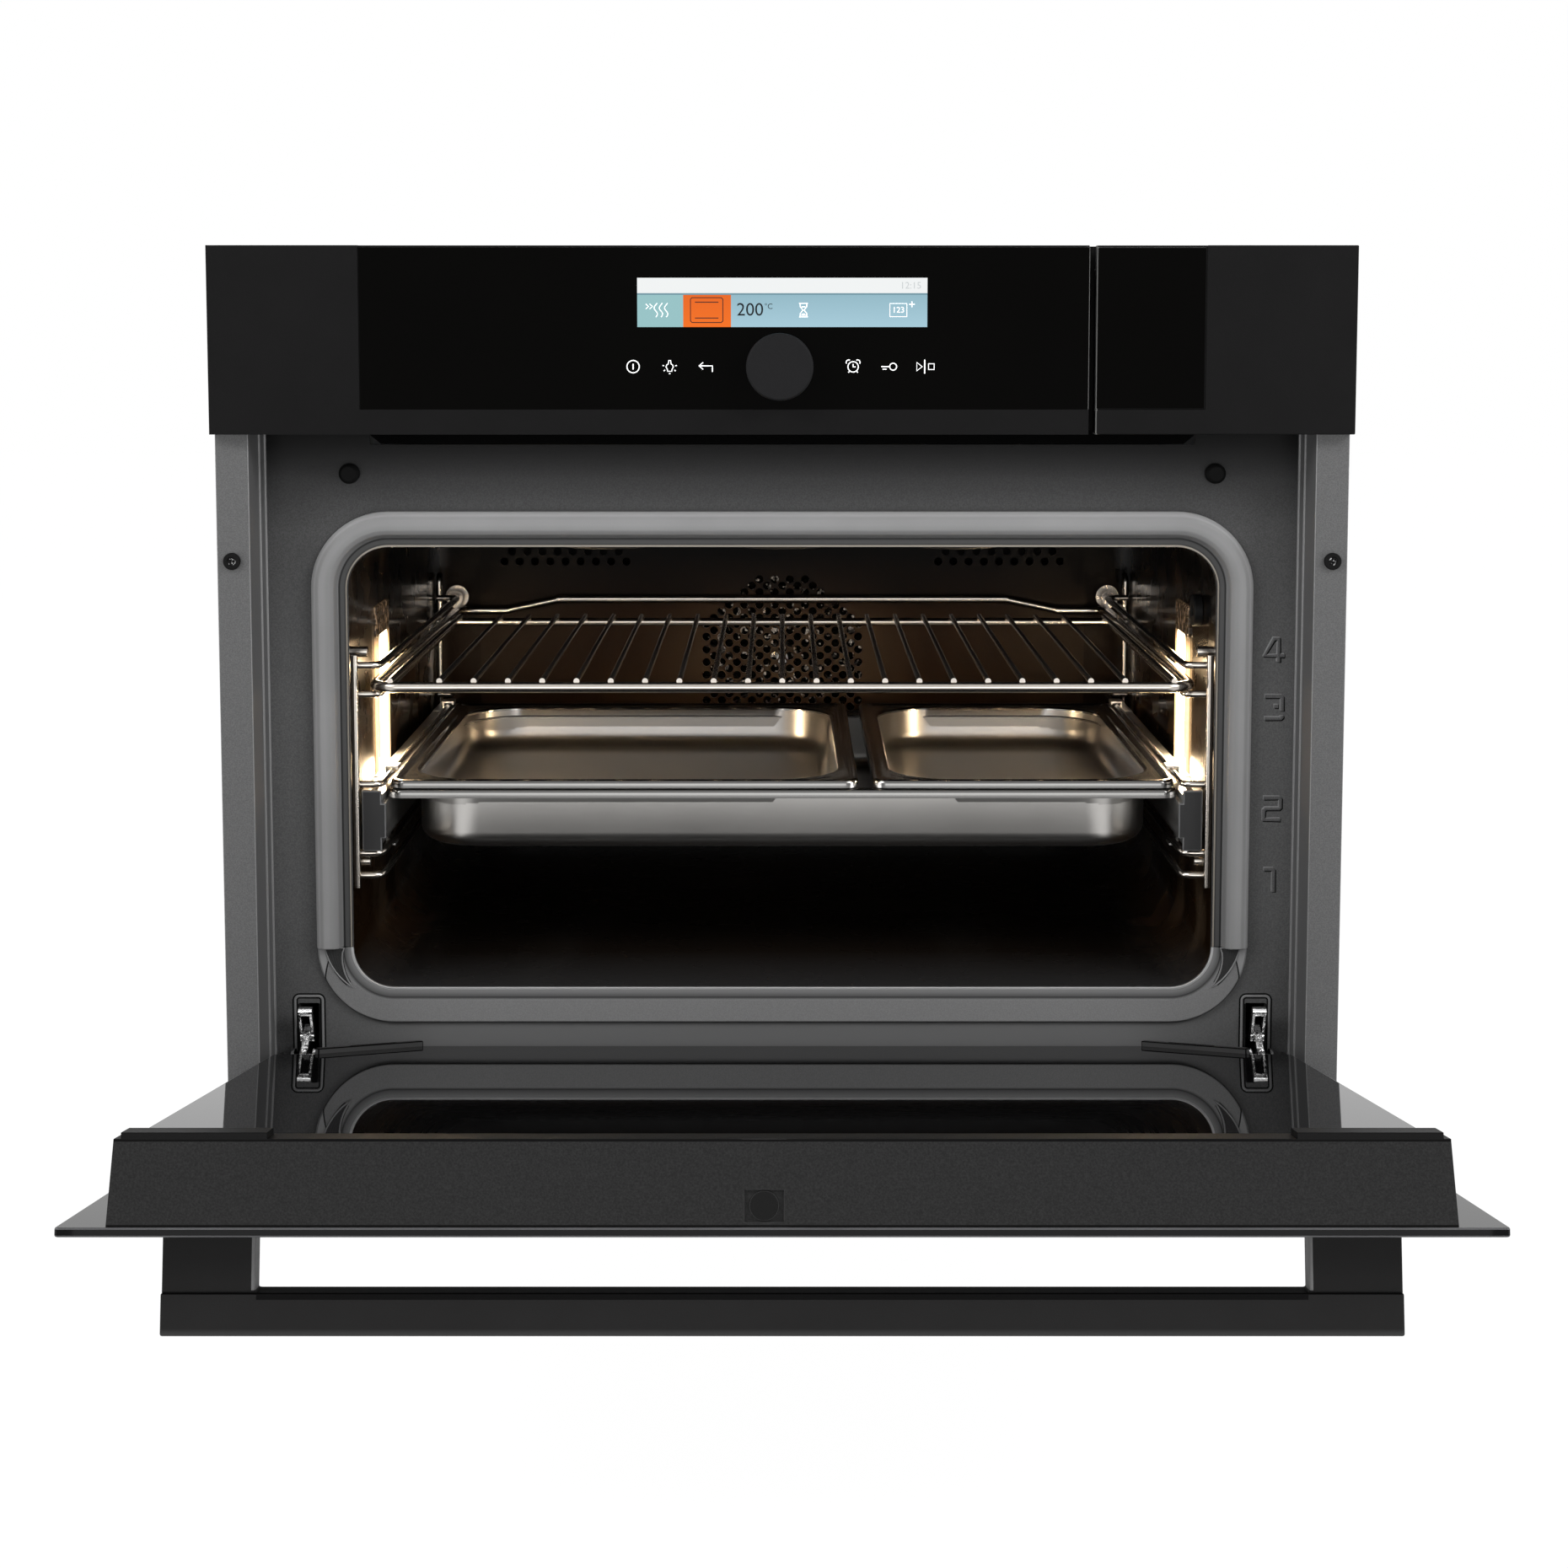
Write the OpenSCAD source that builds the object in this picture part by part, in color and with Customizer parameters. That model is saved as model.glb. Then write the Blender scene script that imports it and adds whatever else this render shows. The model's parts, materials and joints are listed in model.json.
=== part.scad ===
// Built-in compact steam oven, with its drop-down door open.
// Working frame: x = 0 on the centre line, y = 0 on the front of the control panel with +y to the
// rear, z = 0 under the housing. at_niche() moves it so that the origin is the middle of the two
// niche screws, on the plane where the side flanges meet the cabinet.

/* [Housing] */
// Width of the housing inside the niche
body_w = 560; // [550:1:562]
// Depth of the housing behind the cabinet's front edge
body_d = 546; // [540:1:560]
// Thickness of the housing's sheet metal
sheet = 1; // [0.8:0.1:1.2]
// Cabinet's front edge behind the panel's front
cabinet_y = 9; // [8.8:0.1:9.4]
// Front plate behind the panel's front
plate_y = 46; // [45.5:0.5:48]
// Flange's reach outside the housing
flange_w = 17.5; // [16:0.5:18]
// Niche screw from the housing's side
screw_out = 9.5; // [8:0.5:11]
// Niche screw below the control panel
screw_drop = 67; // [60:1:80]
// Radius of the hole for a niche screw
screw_hole_r = 2.2; // [2:0.1:2.4]

/* [Front] */
// Panel's overlap over the housing's side
panel_over = 18.5; // [18:0.5:20]
// Panel's height above the housing
panel_top = 10; // [8:1:12]
// Height of the control panel
panel_h = 98; // [96:1:104]
// Depth of the panel's overlapping rim
panel_face = 7.4; // [6:0.2:7.6]
// Width of a matt ear beside the glossy glass
ear_w = 78.5; // [70:0.5:90]
// Height of the matt strip under the glass
chin_h = 13; // [8:1:14]
// Thickness of the panel glass
panel_glass_t = 3.2; // [3:0.1:4]
// Water-tank front's left edge from the housing's side
tank_inset = 117; // [114:1:120]
// Gap between the panel and the water-tank front
split_gap = 3.6; // [2:0.2:5]

/* [Display and knob] */
// Width of the display
display_w = 151; // [120:1:170]
// Height of the display
display_h = 26; // [20:1:28]
// Bottom of the display above the panel's lower edge
display_rise = 55.5; // [55:0.5:58]
// Radius of the control knob
knob_r = 17.4; // [14:0.2:18]
// Knob's centre above the panel's lower edge
knob_rise = 35.3; // [34:0.1:36]
// How far the knob stands out of the glass
knob_out = 14; // [8:1:20]

/* [Cavity] */
// Inner height of the cavity
cavity_h = 250; // [240:1:270]
// Cavity floor above the underside
cavity_z = 50; // [49:0.5:52]
// From the cavity to the housing's side
side_gap = 42; // [41.5:0.5:44]
// From the cavity's top to the control panel
header_h = 57; // [55:1:65]
// From the cavity's rear wall to the housing's rear
rear_gap = 130; // [126:1:140]
// Height of the cavity's mouth
mouth_h = 243; // [236:1:246]
// Mouth's edge inside the cavity's side
mouth_edge = 2.5; // [1.5:0.5:4]
// Corner radius of the mouth
mouth_r = 22.5; // [20:0.5:24]
// Thickness of the cavity's sheet
liner_t = 1; // [0.8:0.1:1.2]
// Width of the door seal's band
seal_w = 19.5; // [17:0.5:20]
// Height of the door seal
seal_t = 6.7; // [6:0.1:6.8]

/* [Fan] */
// Depth of the fan chamber behind the cavity
chamber_d = 45; // [43:1:50]
// Radius of the convection fan
fan_r = 76; // [70:1:80]
// Radius of the fan's shaft
shaft_r = 4; // [3:0.5:5]
// Radius of the ring heater
ring_r = 96; // [92:1:98]
// Radius of a baffle hole
hole_r = 2.8; // [2:0.1:2.9]
// Spacing of the baffle's hole columns
hole_dx = 5.27; // [5.2:0.01:5.4]
// Spacing of the holes in one column
hole_dz = 8.9; // [8.8:0.1:9.4]

/* [Racks and runners] */
// Radius of the ladder wire
wire_r = 2; // [1.8:0.1:2.1]
// Long ladder wires from the cavity's side
ladder_gap = 16; // [15.5:0.5:16.5]
// Rack's ladder level above the cavity floor
rack_rise = 161; // [159:1:163]
// Radius of the rack's frame
rack_r = 3; // [2.6:0.1:3.1]
// Radius of the rack's cross wires
cross_r = 1.6; // [1.2:0.1:2]
// Spacing of the rack's cross wires
cross_pitch = 18.75; // [18.5:0.05:19]
// Bottom of the runners above the cavity floor
runner_rise = 74.2; // [73:0.2:75]
// Height of a runner
runner_h = 34; // [34:0.2:35]
// Steam tray's rim from the cavity's side
tray_gap = 17.4; // [17.2:0.1:18]
// Depth of the tray's bowl
tray_bowl = 31; // [25:1:32]
// Large pan's share of the pans' width
pan_share = 0.6084; // [0.55:0.01:0.65]
// Gap between the two pans
pan_gap = 8; // [4:0.5:10]
// Depth of the pans' bowls
pan_bowl = 22; // [15:1:23]
// Thickness of the tray's and pans' sheet
pan_t = 1; // [0.8:0.1:1.2]

/* [Door] */
// Gap above and below the closed door
door_gap = 3; // [2.5:0.5:4]
// Thickness of the outer and inner glass
pane_t = 4; // [3.8:0.1:4.2]
// Depth of the closed door, to the inner glass
door_d = 38.7; // [38:0.1:38.8]
// Hinge axis behind the panel's front
hinge_y = 30; // [29:0.5:31]
// Hinge axis above the underside
hinge_z = 14; // [13:0.5:15]
// Hinge from the housing's side
hinge_in = 19.5; // [19:0.5:20]
// Radius of the hinge pin
pin_r = 4; // [3.5:0.1:4.2]
// Angle of the open door
open_angle = 80; // [75:1:80]

/* [Handle] */
// From the door's side to the handle's end
handle_in = 38.5; // [30:0.5:60]
// Thickness of the bar away from the glass
bar_t = 17.7; // [12:0.1:20]
// Height of the bar
bar_h = 14; // [12:0.5:16]
// Length of a post, glass to bar
post_t = 27; // [24:0.5:40]
// Width of a post
post_w = 39; // [30:1:45]
// Bar's centre below the door's top edge
handle_drop = 30; // [28:1:40]

/* [Water tank] */
// From the tank's rear to the housing's rear
tank_rear = 241; // [230:1:260]
// Thickness of the water tank's wall
tank_wall = 2; // [1.5:0.1:3]

/* [Hidden] */
$fn = 48;
eps = 0.01;
clear = 0.3;
run = 0.05;

panel_z = cavity_z + cavity_h + header_h;
front_h = panel_z + panel_h;
body_h = front_h - panel_top;
body_x = body_w / 2;
front_x = body_x + panel_over;
rear_y = cabinet_y + body_d;
glass_x = front_x - ear_w;
tank_x = body_x - tank_inset;
split_x = tank_x - split_gap;
glass_y = 0.2;
pocket_y = glass_y + panel_glass_t;
skin_t = 2;
carrier_x = body_x - 3;
carrier_y = plate_y - 6;
glass_top = front_h - 1;
knob_z = panel_z + knob_rise;
knob_x = -1.3;
knob_gap = 3;
stem_hole_r = 5;
display_z = panel_z + display_rise;

liner_y = plate_y + sheet;
back_y = rear_y - rear_gap;
cavity_d = back_y - liner_y;
chamber_y = back_y + liner_t + chamber_d;
cavity_x = body_x - side_gap;
cavity_w = 2 * cavity_x;
cavity_mid = cavity_z + cavity_h / 2;
cavity_top = cavity_z + cavity_h;
mouth_w = cavity_w - 2 * mouth_edge;
mouth_mid = cavity_mid - 2.5;
cavity_r = mouth_r + 2;

plate_top = panel_z + 12;
lip_x = mouth_w / 2 - 13.5;
lip_z = panel_z - 7;
flange_y = cabinet_y - 1.2;
flange_x = body_x + flange_w;
screw_x = body_x + screw_out;
screw_z = panel_z - screw_drop;
bush_r = 4.5;
bush_hole_r = 3.5;
bumper_x = mouth_w / 2 - 2;
bumper_z = panel_z - 23;

fan_z = cavity_z + 0.524 * cavity_h;
chamber_w = cavity_w - 76;
chamber_h = cavity_h - 24;
baffle_x = chamber_w / 2 + 9.5;
baffle_d = 5;
baffle_y = back_y - baffle_d;
baffle_z = cavity_z + 8;
baffle_top = cavity_top - 15;
lamp_y = liner_y + 98;
lamp_w = 46;
lamp_z = cavity_z + 93;
lamp_h = cavity_h - 143;
probe_y = liner_y + 63;
probe_z = cavity_top - 48;
probe_r = 3.1;
wool = 24;
wool_y = chamber_y + wool;
wool_top = cavity_top + liner_t + wool;

duct_z = lip_z;
duct_top = plate_top + 0.2;
guide_z = duct_top + clear;
guide_t = 2;
tank_lo = [tank_x + 8, 14, guide_z + guide_t + 0.5];
tank_hi = [body_x - 10, rear_y - tank_rear, front_h - 18.2];
blower = [-40, rear_y - 165];
blower_r = 66;
neck_back = blower.y - blower_r - 1;
duct_back = neck_back - 30;

wire_front = liner_y + 13;
wire_back = back_y - 24;
ladder_x = cavity_x - ladder_gap;
ladder_wall = cavity_x - wire_r - 0.7;
clip_x = ladder_x + wire_r + 0.6;
clip_t = 1.2;
rack_level = cavity_z + rack_rise;
runner_z = cavity_z + runner_rise;
levels = [runner_z - wire_r - 0.2 - 12.5, runner_z - wire_r - 0.2, runner_z + runner_h + wire_r + 0.4,
    rack_level, rack_level + 16];
stud_x = ladder_wall - 9.3;
stud_z = rack_level + 14;

rail_out = cavity_x - 5.7;
rail_front = liner_y + 14;
rail_back = wire_back - 8;
ledge_z = runner_z + 26.6;
tray_x = cavity_x - tray_gap;
tray_y = liner_y + 24;
tray_d = cavity_d - 93;
tray_z = ledge_z + 0.1;
rim_h = 5.4;
pan_z = tray_z + rim_h + 0.1;
pan_rim_h = 5;
tray_lip = 12;
pan_lip = 14.5;
pans_x = tray_x - 1.6;
pan_split = pan_share * (2 * pans_x - pan_gap);

rack_z = rack_level + wire_r + rack_r + clear;
rack_x = ladder_x + 2.5;
rack_front = liner_y + 6;
rack_back = back_y - 8;
cross_back = rack_back - 66;
cross_z = rack_z + rack_r + cross_r - 1;
stop_x = rack_x - 68.5;
stop_ramp = 33;
stop_rise = 8;

door_x = front_x - 1;
door_top = panel_z - door_gap;
hinge_x = body_x - hinge_in;
box_x = body_x - 6;
trim_z = door_top - 16;
pane_y = door_d - pane_t;
inner_x = box_x - 5;
column_x = hinge_x - 12;
cut_x = column_x - 53.5;
cut_z = 56;
glass_low = 18;
trim_cap_x = box_x - 63;
plug_x = -7.4;
cheek_t = 1.5;
notch_y = plate_y + 18.5;
case_w = 13;
bar_z = door_top - handle_drop;
handle_x = door_x - handle_in;

// Shared shapes

module at_niche() translate([0, -cabinet_y, -screw_z]) children();

// turns a piece of the closed door to its open place
module at_door() at_niche() translate([0, hinge_y, hinge_z]) rotate([open_angle, 0, 0])
    translate([0, -hinge_y, -hinge_z]) children();

module both() {
    children();
    mirror([1, 0, 0]) children();
}

// a box from its low corner to its high corner
module block(lo, hi) translate(lo) cube(hi - lo);

// an outline drawn in x and z, made t thick from y
module plate(y, t) translate([0, y + t, 0]) rotate([90, 0, 0]) linear_extrude(t) children();

// an outline drawn in y and z, made t thick from x
module wall(x, t) translate([x, 0, 0]) rotate([90, 0, 90]) linear_extrude(t) children();

// a rectangle with round corners about its centre
module round_rect(w, h, r) {
    square([w - 2 * r, h], center = true);
    square([w, h - 2 * r], center = true);
    for (x = [-1, 1], z = [-1, 1]) translate([x * (w / 2 - r), z * (h / 2 - r)]) circle(r);
}

module rod_x(x0, x1, y, z, r) translate([x0, y, z]) rotate([0, 90, 0]) cylinder(h = x1 - x0, r = r);

module rod_y(x, y0, y1, z, r) translate([x, y1, z]) rotate([90, 0, 0]) cylinder(h = y1 - y0, r = r);

// a bent rod along +z: [length] runs straight, [radius, angle, roll] bends
module bent_rod(steps, r, i = 0) {
    if (i < len(steps)) {
        s = steps[i];
        if (len(s) == 1) {
            cylinder(h = s[0], r = r);
            translate([0, 0, s[0]]) bent_rod(steps, r, i + 1);
        } else {
            rotate([0, 0, s[2]]) {
                translate([s[0], 0, 0]) rotate([90, 0, 180]) rotate_extrude(angle = s[1])
                    translate([s[0], 0]) circle(r);
                translate([s[0] * (1 - cos(s[1])), 0, s[0] * sin(s[1])]) rotate([0, s[1], 0])
                    bent_rod(steps, r, i + 1);
            }
        }
    }
}

// Control panel

module control_panel() color("#161616") at_niche() difference() {
    union() {
        block([-front_x, 0, panel_z], [split_x, panel_face, front_h]);
        block([-carrier_x, panel_face, panel_z], [split_x, carrier_y, body_h - sheet - 1]);
    }
    block([-glass_x, -1, panel_z + chin_h], [split_x + 1, pocket_y, front_h + 1]);
    block([-carrier_x + skin_t, pocket_y + skin_t, panel_z + skin_t],
        [split_x - skin_t, carrier_y + 1, body_h - sheet - 1 - skin_t]);
    block([-display_w / 2, 0, display_z], [display_w / 2, carrier_y, display_z + display_h]);
    translate([knob_x, 0, knob_z]) rotate([-90, 0, 0]) cylinder(h = carrier_y, r = 9 + clear);
}

module panel_glass() color("#050505") at_niche() difference() {
    block([-glass_x, glass_y, panel_z + chin_h], [split_x, pocket_y, glass_top]);
    translate([knob_x, -1, knob_z]) rotate([-90, 0, 0]) cylinder(h = 10, r = stem_hole_r);
}

module display_module() color("#8fc3d6") at_niche()
    block([-display_w / 2 + clear, pocket_y, display_z + clear],
        [display_w / 2 - clear, pocket_y + 8, display_z + display_h - clear]);

module control_board() color("darkgreen") at_niche() difference() {
    union() {
        block([-glass_x + 60, pocket_y + 8, panel_z + skin_t],
            [split_x - skin_t - 1, pocket_y + 9.6, glass_top - 16]);
        for (x = [-140, -100, 90, 120])
            block([x, pocket_y + 9.6, panel_z + 30], [x + 18, pocket_y + 18, panel_z + 42]);
    }
    translate([knob_x, 0, knob_z]) rotate([-90, 0, 0]) cylinder(h = 40, r = 9 + clear);
}

module knob_encoder() color("silver") at_niche() translate([knob_x, 0, knob_z]) rotate([-90, 0, 0])
    difference() {
        union() {
            translate([0, 0, pocket_y + 4]) cylinder(h = 18, r = 9);
            translate([0, 0, pocket_y + 9.6]) cylinder(h = 2, r = 12);
        }
        cylinder(h = 60, r = 3 + run);
    }

module knob_stem() color("silver") at_niche() translate([knob_x, 0, knob_z]) rotate([-90, 0, 0])
    translate([0, 0, -knob_out + 4]) cylinder(h = knob_out + 18, r = 3);

module control_knob() color("#2b2b2d") at_niche() translate([knob_x, 0, knob_z]) rotate([90, 0, 0])
    difference() {
        union() {
            translate([0, 0, knob_gap]) cylinder(h = knob_out - 0.8 - knob_gap, r = knob_r);
            translate([0, 0, knob_out - 0.8]) cylinder(h = 0.8, r1 = knob_r, r2 = knob_r - 0.8);
        }
        translate([0, 0, -1]) cylinder(h = knob_out - 3, r = 3 + run);
        translate([0, 0, knob_gap - 1]) difference() {
            cylinder(h = knob_out - 2 - knob_gap, r = knob_r - 2);
            cylinder(h = knob_out, r = 6);
        }
    }

// Water tank and its front

module tank_front() color("#161616") at_niche() difference() {
    union() {
        block([tank_x, 0, panel_z], [front_x, panel_face, front_h]);
        block([tank_x, panel_face, panel_z], [carrier_x, tank_lo[1] - 2, body_h - sheet - 1]);
    }
    block([tank_x - 1, -1, panel_z + chin_h], [glass_x, pocket_y, front_h + 1]);
}

module tank_front_glass() color("#050505") at_niche()
    block([tank_x, glass_y, panel_z + chin_h], [glass_x, pocket_y, glass_top]);

module water_tank() color("#9fb4bd") at_niche() {
    difference() {
        block(tank_lo, tank_hi);
        block(tank_lo + [tank_wall, tank_wall, tank_wall], tank_hi + [-tank_wall, -tank_wall, 1]);
    }
    block([tank_lo[0] + 20, tank_lo[1] - 2, tank_lo[2] + 8],
        [tank_hi[0] - 20, tank_lo[1], tank_hi[2] - 8]);
}

module tank_guide() color("#4b4f52") at_niche() difference() {
    block([tank_lo[0] - 0.6 - guide_t, plate_y - 20, guide_z],
        [tank_hi[0] + 0.6 + guide_t, tank_hi[1] + 4, tank_hi[2]]);
    block([tank_lo[0] - 0.6, 0, guide_z + guide_t],
        [tank_hi[0] + 0.6, tank_hi[1] + 4 - guide_t, tank_hi[2] + 1]);
}

// Cooling air outlet and duct

module vent_lip() color("#0c0c0c") at_niche() difference() {
    plate(plate_y - 3, 3 + sheet) polygon([[-lip_x + 6, lip_z], [lip_x - 6, lip_z], [lip_x, lip_z + 5],
        [lip_x, plate_top], [-lip_x, plate_top], [-lip_x, lip_z + 5]]);
    for (i = [-8:8])
        block([i * 25 - 10, plate_y - 4, lip_z + 8], [i * 25 + 10, liner_y + 1, plate_top - 3]);
}

module air_duct() color("#8b8f92") at_niche() difference() {
    union() {
        block([-lip_x + 6, liner_y, duct_z], [lip_x - 6, duct_back, duct_top]);
        block([-110, duct_back, duct_z], [30, neck_back, duct_top]);
    }
    block([-lip_x + 7, 0, duct_z + 1], [lip_x - 7, duct_back - 1, duct_top - 1]);
    block([-109, duct_back - 5, duct_z + 1], [29, neck_back + 1, duct_top - 1]);
}

module cooling_housing() color("#9a9ea1") at_niche() difference() {
    union() {
        translate([blower.x, blower.y, duct_z - 12]) cylinder(h = 42, r = blower_r);
        block([blower.x - 64, neck_back + clear, duct_z - 12], [blower.x + 64, blower.y, duct_z + 30]);
        translate([blower.x, blower.y, duct_z + 30]) cylinder(h = 30, r = 30);
    }
    translate([blower.x, blower.y, duct_z - 10]) cylinder(h = 38, r = blower_r - 2);
    translate([blower.x, blower.y, duct_z - 20]) cylinder(h = 20, r = 40);
    block([blower.x - 62, neck_back - 5, duct_z + 1], [blower.x + 62, blower.y, duct_top - 1]);
    translate([blower.x, blower.y, duct_z]) cylinder(h = 50, r = 3 + run);
}

module cooling_wheel() color("#26282a") at_niche() translate([blower.x, blower.y, duct_z - 8]) {
    cylinder(h = 52, r = 3);
    cylinder(h = 12, r = 9);
    cylinder(h = 1.5, r = 58);
    for (i = [0:23]) rotate([0, 0, i * 15]) translate([44, 0, 0]) rotate([0, 0, 28])
        translate([0, -0.6, 0]) cube([14, 1.2, 32]);
    translate([0, 0, 32]) difference() {
        cylinder(h = 1.5, r = 58);
        translate([0, 0, -1]) cylinder(h = 4, r = 44);
    }
}

// Front frame and flanges

module front_frame() color("#5a5b5d") at_niche() plate(plate_y, sheet) difference() {
    translate([-body_x, 1]) square([body_w, plate_top - 1]);
    translate([0, mouth_mid]) round_rect(mouth_w, mouth_h, mouth_r);
    translate([-lip_x - 0.5, lip_z - 0.5]) square([2 * lip_x + 1, 40]);
    for (s = [-1, 1]) {
        translate([s * hinge_x, hinge_z + 12]) round_rect(case_w, 32, 2);
        translate([s * bumper_x, bumper_z]) circle(3 + clear);
    }
}

module side_trims() color("#66676a") at_niche() both() difference() {
    union() {
        block([body_x, flange_y, 4], [flange_x, cabinet_y, panel_z + 6]);
        block([body_x, flange_y, 4], [body_x + 1.2, plate_y + 24, panel_z + 6]);
    }
    translate([screw_x, 0, screw_z]) rotate([-90, 0, 0]) cylinder(h = 20, r = bush_hole_r);
}

module niche_bushes() color("#101010") at_niche() both() translate([screw_x, 0, screw_z])
    rotate([-90, 0, 0]) difference() {
        union() {
            translate([0, 0, flange_y - 2.2]) cylinder(h = 2.2, r = bush_r);
            translate([0, 0, flange_y]) cylinder(h = cabinet_y - flange_y, r = bush_hole_r);
        }
        cylinder(h = 20, r = screw_hole_r);
    }

module door_bumpers() color("#0d0d0d") at_niche() both() translate([bumper_x, 0, bumper_z])
    rotate([-90, 0, 0]) {
        translate([0, 0, plate_y - 4]) cylinder(h = 4, r = 5.5);
        translate([0, 0, plate_y - 6]) cylinder(h = 2, r1 = 4, r2 = 5.5);
        translate([0, 0, plate_y]) cylinder(h = 4, r = 3);
    }

// Door seal: outline in x (away from the mouth) and y (out of the plate)
module seal_outline() polygon([[0, 0], [seal_w, 0], [seal_w, 3.6], [seal_w - 1.6, 5.6],
    [seal_w - 4.4, seal_t], [9.4, seal_t], [7, 5.4], [5.4, 1.2], [1.2, 1.2], [0, 2]]);

module sill_outline() polygon([[0, 0], [seal_w, 0], [seal_w, 1.6], [seal_w - 0.9, 2.5], [6.4, 2.5],
    [5.4, 1.2], [1.2, 1.2], [0, 2]]);

module seal_corner() translate([mouth_w / 2 - mouth_r, plate_y, mouth_h / 2 - mouth_r])
    rotate([90, 0, 0]) rotate_extrude(angle = 90) translate([mouth_r, 0]) children();

// a straight stretch of the outline up the right side of the mouth, from z0 to z1
module seal_side(z0, z1) translate([mouth_w / 2, plate_y, z0]) mirror([0, 1, 0])
    linear_extrude(z1 - z0) children();

// a straight stretch along the top of the mouth
module seal_top() translate([-mouth_w / 2 + mouth_r, plate_y, mouth_h / 2]) rotate([90, 0, 90])
    linear_extrude(mouth_w - 2 * mouth_r) rotate(90) children();

module door_gasket() color("#7c7e80") at_niche() translate([0, 0, mouth_mid]) {
    both() {
        seal_corner() seal_outline();
        seal_side(-mouth_h / 2 + mouth_r, mouth_h / 2 - mouth_r) seal_outline();
    }
    seal_top() seal_outline();
}

module mouth_sill() color("#6c6e70") at_niche() translate([0, 0, mouth_mid]) mirror([0, 0, 1]) {
    both() seal_corner() sill_outline();
    seal_top() sill_outline();
}

// Cavity

module cavity_section(grow) translate([0, cavity_mid])
    round_rect(cavity_w + 2 * grow, cavity_h + 2 * grow, cavity_r + grow);

module chamber(grow, y0, y1) block([-chamber_w / 2 - grow, y0, fan_z - chamber_h / 2 - grow],
    [chamber_w / 2 + grow, y1, fan_z + chamber_h / 2 + grow]);

module lamp_slot(grow, x0, x1) both() block([x0, lamp_y - grow, lamp_z - grow],
    [x1, lamp_y + lamp_w + grow, lamp_z + lamp_h + grow]);

module cavity_liner() color("#3a342c") at_niche() difference() {
    union() {
        plate(liner_y, 1) cavity_section(12);
        plate(liner_y, cavity_d + liner_t) cavity_section(liner_t);
        chamber(liner_t, back_y, chamber_y + liner_t);
    }
    plate(liner_y - 1, cavity_d + 1) cavity_section(0);
    chamber(0, back_y - 1, chamber_y);
    lamp_slot(0, cavity_x - 5, cavity_x + 5);
    translate([cavity_x - 5, probe_y, probe_z]) rotate([0, 90, 0]) cylinder(h = 10, r = 7);
    translate([0, chamber_y - 1, fan_z]) rotate([-90, 0, 0]) cylinder(h = 5, r = shaft_r + 2);
}

// holes of the suction grille: a square block of columns under a sloping roof
module grille_holes() for (i = [-10:10]) {
    x = i * hole_dx;
    top = 24 + (abs(x) > 18 ? 36 * (57 - abs(x)) / 39 : 36);
    for (j = [0:11]) {
        z = -37 + j * hole_dz + (i % 2 == 0 ? 0 : hole_dz / 2);
        if (z < top) translate([x, fan_z + z]) circle(hole_r, $fn = 16);
    }
}

// two rows of outlet holes on each side
module outlet_holes() for (s = [-1, 1], row = [0, 1], i = [0:8 - row])
    translate([s * (108 + i * 2 * hole_dx + row * hole_dx), baffle_top - 35 + 7 * row])
        circle(hole_r, $fn = 16);

module fan_baffle() color("#40382e") at_niche() {
    plate(baffle_y, 1) difference() {
        translate([-baffle_x, baffle_z]) square([2 * baffle_x, baffle_top - baffle_z]);
        grille_holes();
        outlet_holes();
    }
    plate(baffle_y + 1, baffle_d - 1) difference() {
        translate([-baffle_x, baffle_z]) square([2 * baffle_x, baffle_top - baffle_z]);
        translate([-baffle_x + 1, baffle_z + 1])
            square([2 * baffle_x - 2, baffle_top - baffle_z - 2]);
    }
}

module convection_fan() color("#8d8f91") at_niche() translate([0, back_y + 9, fan_z])
    rotate([-90, 0, 0]) difference() {
        union() {
            cylinder(h = 26, r = 9);
            translate([0, 0, 23]) cylinder(h = 1.2, r = fan_r);
            for (i = [0:13]) rotate([0, 0, i * 360 / 14]) translate([34, 0, 1]) rotate([0, 0, 20])
                translate([0, -0.5, 0]) cube([fan_r - 36, 1, 23]);
            difference() {
                cylinder(h = 1.2, r = fan_r);
                translate([0, 0, -1]) cylinder(h = 4, r = fan_r - 8);
            }
        }
        translate([0, 0, -1]) cylinder(h = 40, r = shaft_r + run);
    }

module fan_shaft() color("silver") at_niche() rod_y(0, back_y + 6, wool_y + 30, fan_z, shaft_r);

module fan_motor() color("#6f7376") at_niche() translate([0, 0, fan_z]) rotate([-90, 0, 0])
    difference() {
        union() {
            translate([0, 0, chamber_y + liner_t]) cylinder(h = 2, r = 42);
            translate([0, 0, chamber_y + liner_t]) cylinder(h = wool + 6, r = 12);
            translate([0, 0, wool_y + 1]) cylinder(h = 34, r = 36);
        }
        cylinder(h = wool_y + 32, r = shaft_r + run);
    }

// an open ring round the fan, with two thicker ends through to the chamber's back
module ring_heater() color("#3d3b38") at_niche() translate([0, 0, fan_z]) rotate([90, 0, 0]) {
    translate([0, 0, -chamber_y + 26]) rotate([0, 0, 110]) rotate_extrude(angle = 320)
        translate([ring_r, 0]) circle(3.2);
    for (a = [111, 429]) rotate([0, 0, a]) translate([ring_r, 0, -chamber_y]) cylinder(h = 31, r = 4.2);
}

module grill_element() color("#3d3b38") at_niche() {
    long = cavity_d - 108;
    translate([-125, back_y, cavity_top - 9]) rotate([90, 0, 0])
        bent_rod([[long + 30], [25, 180, 0], [long], [25, 180, 180], [long], [25, 180, 180], [long],
            [25, 180, 180], [long], [25, 180, 180], [long + 30]], 3.2);
}

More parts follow.
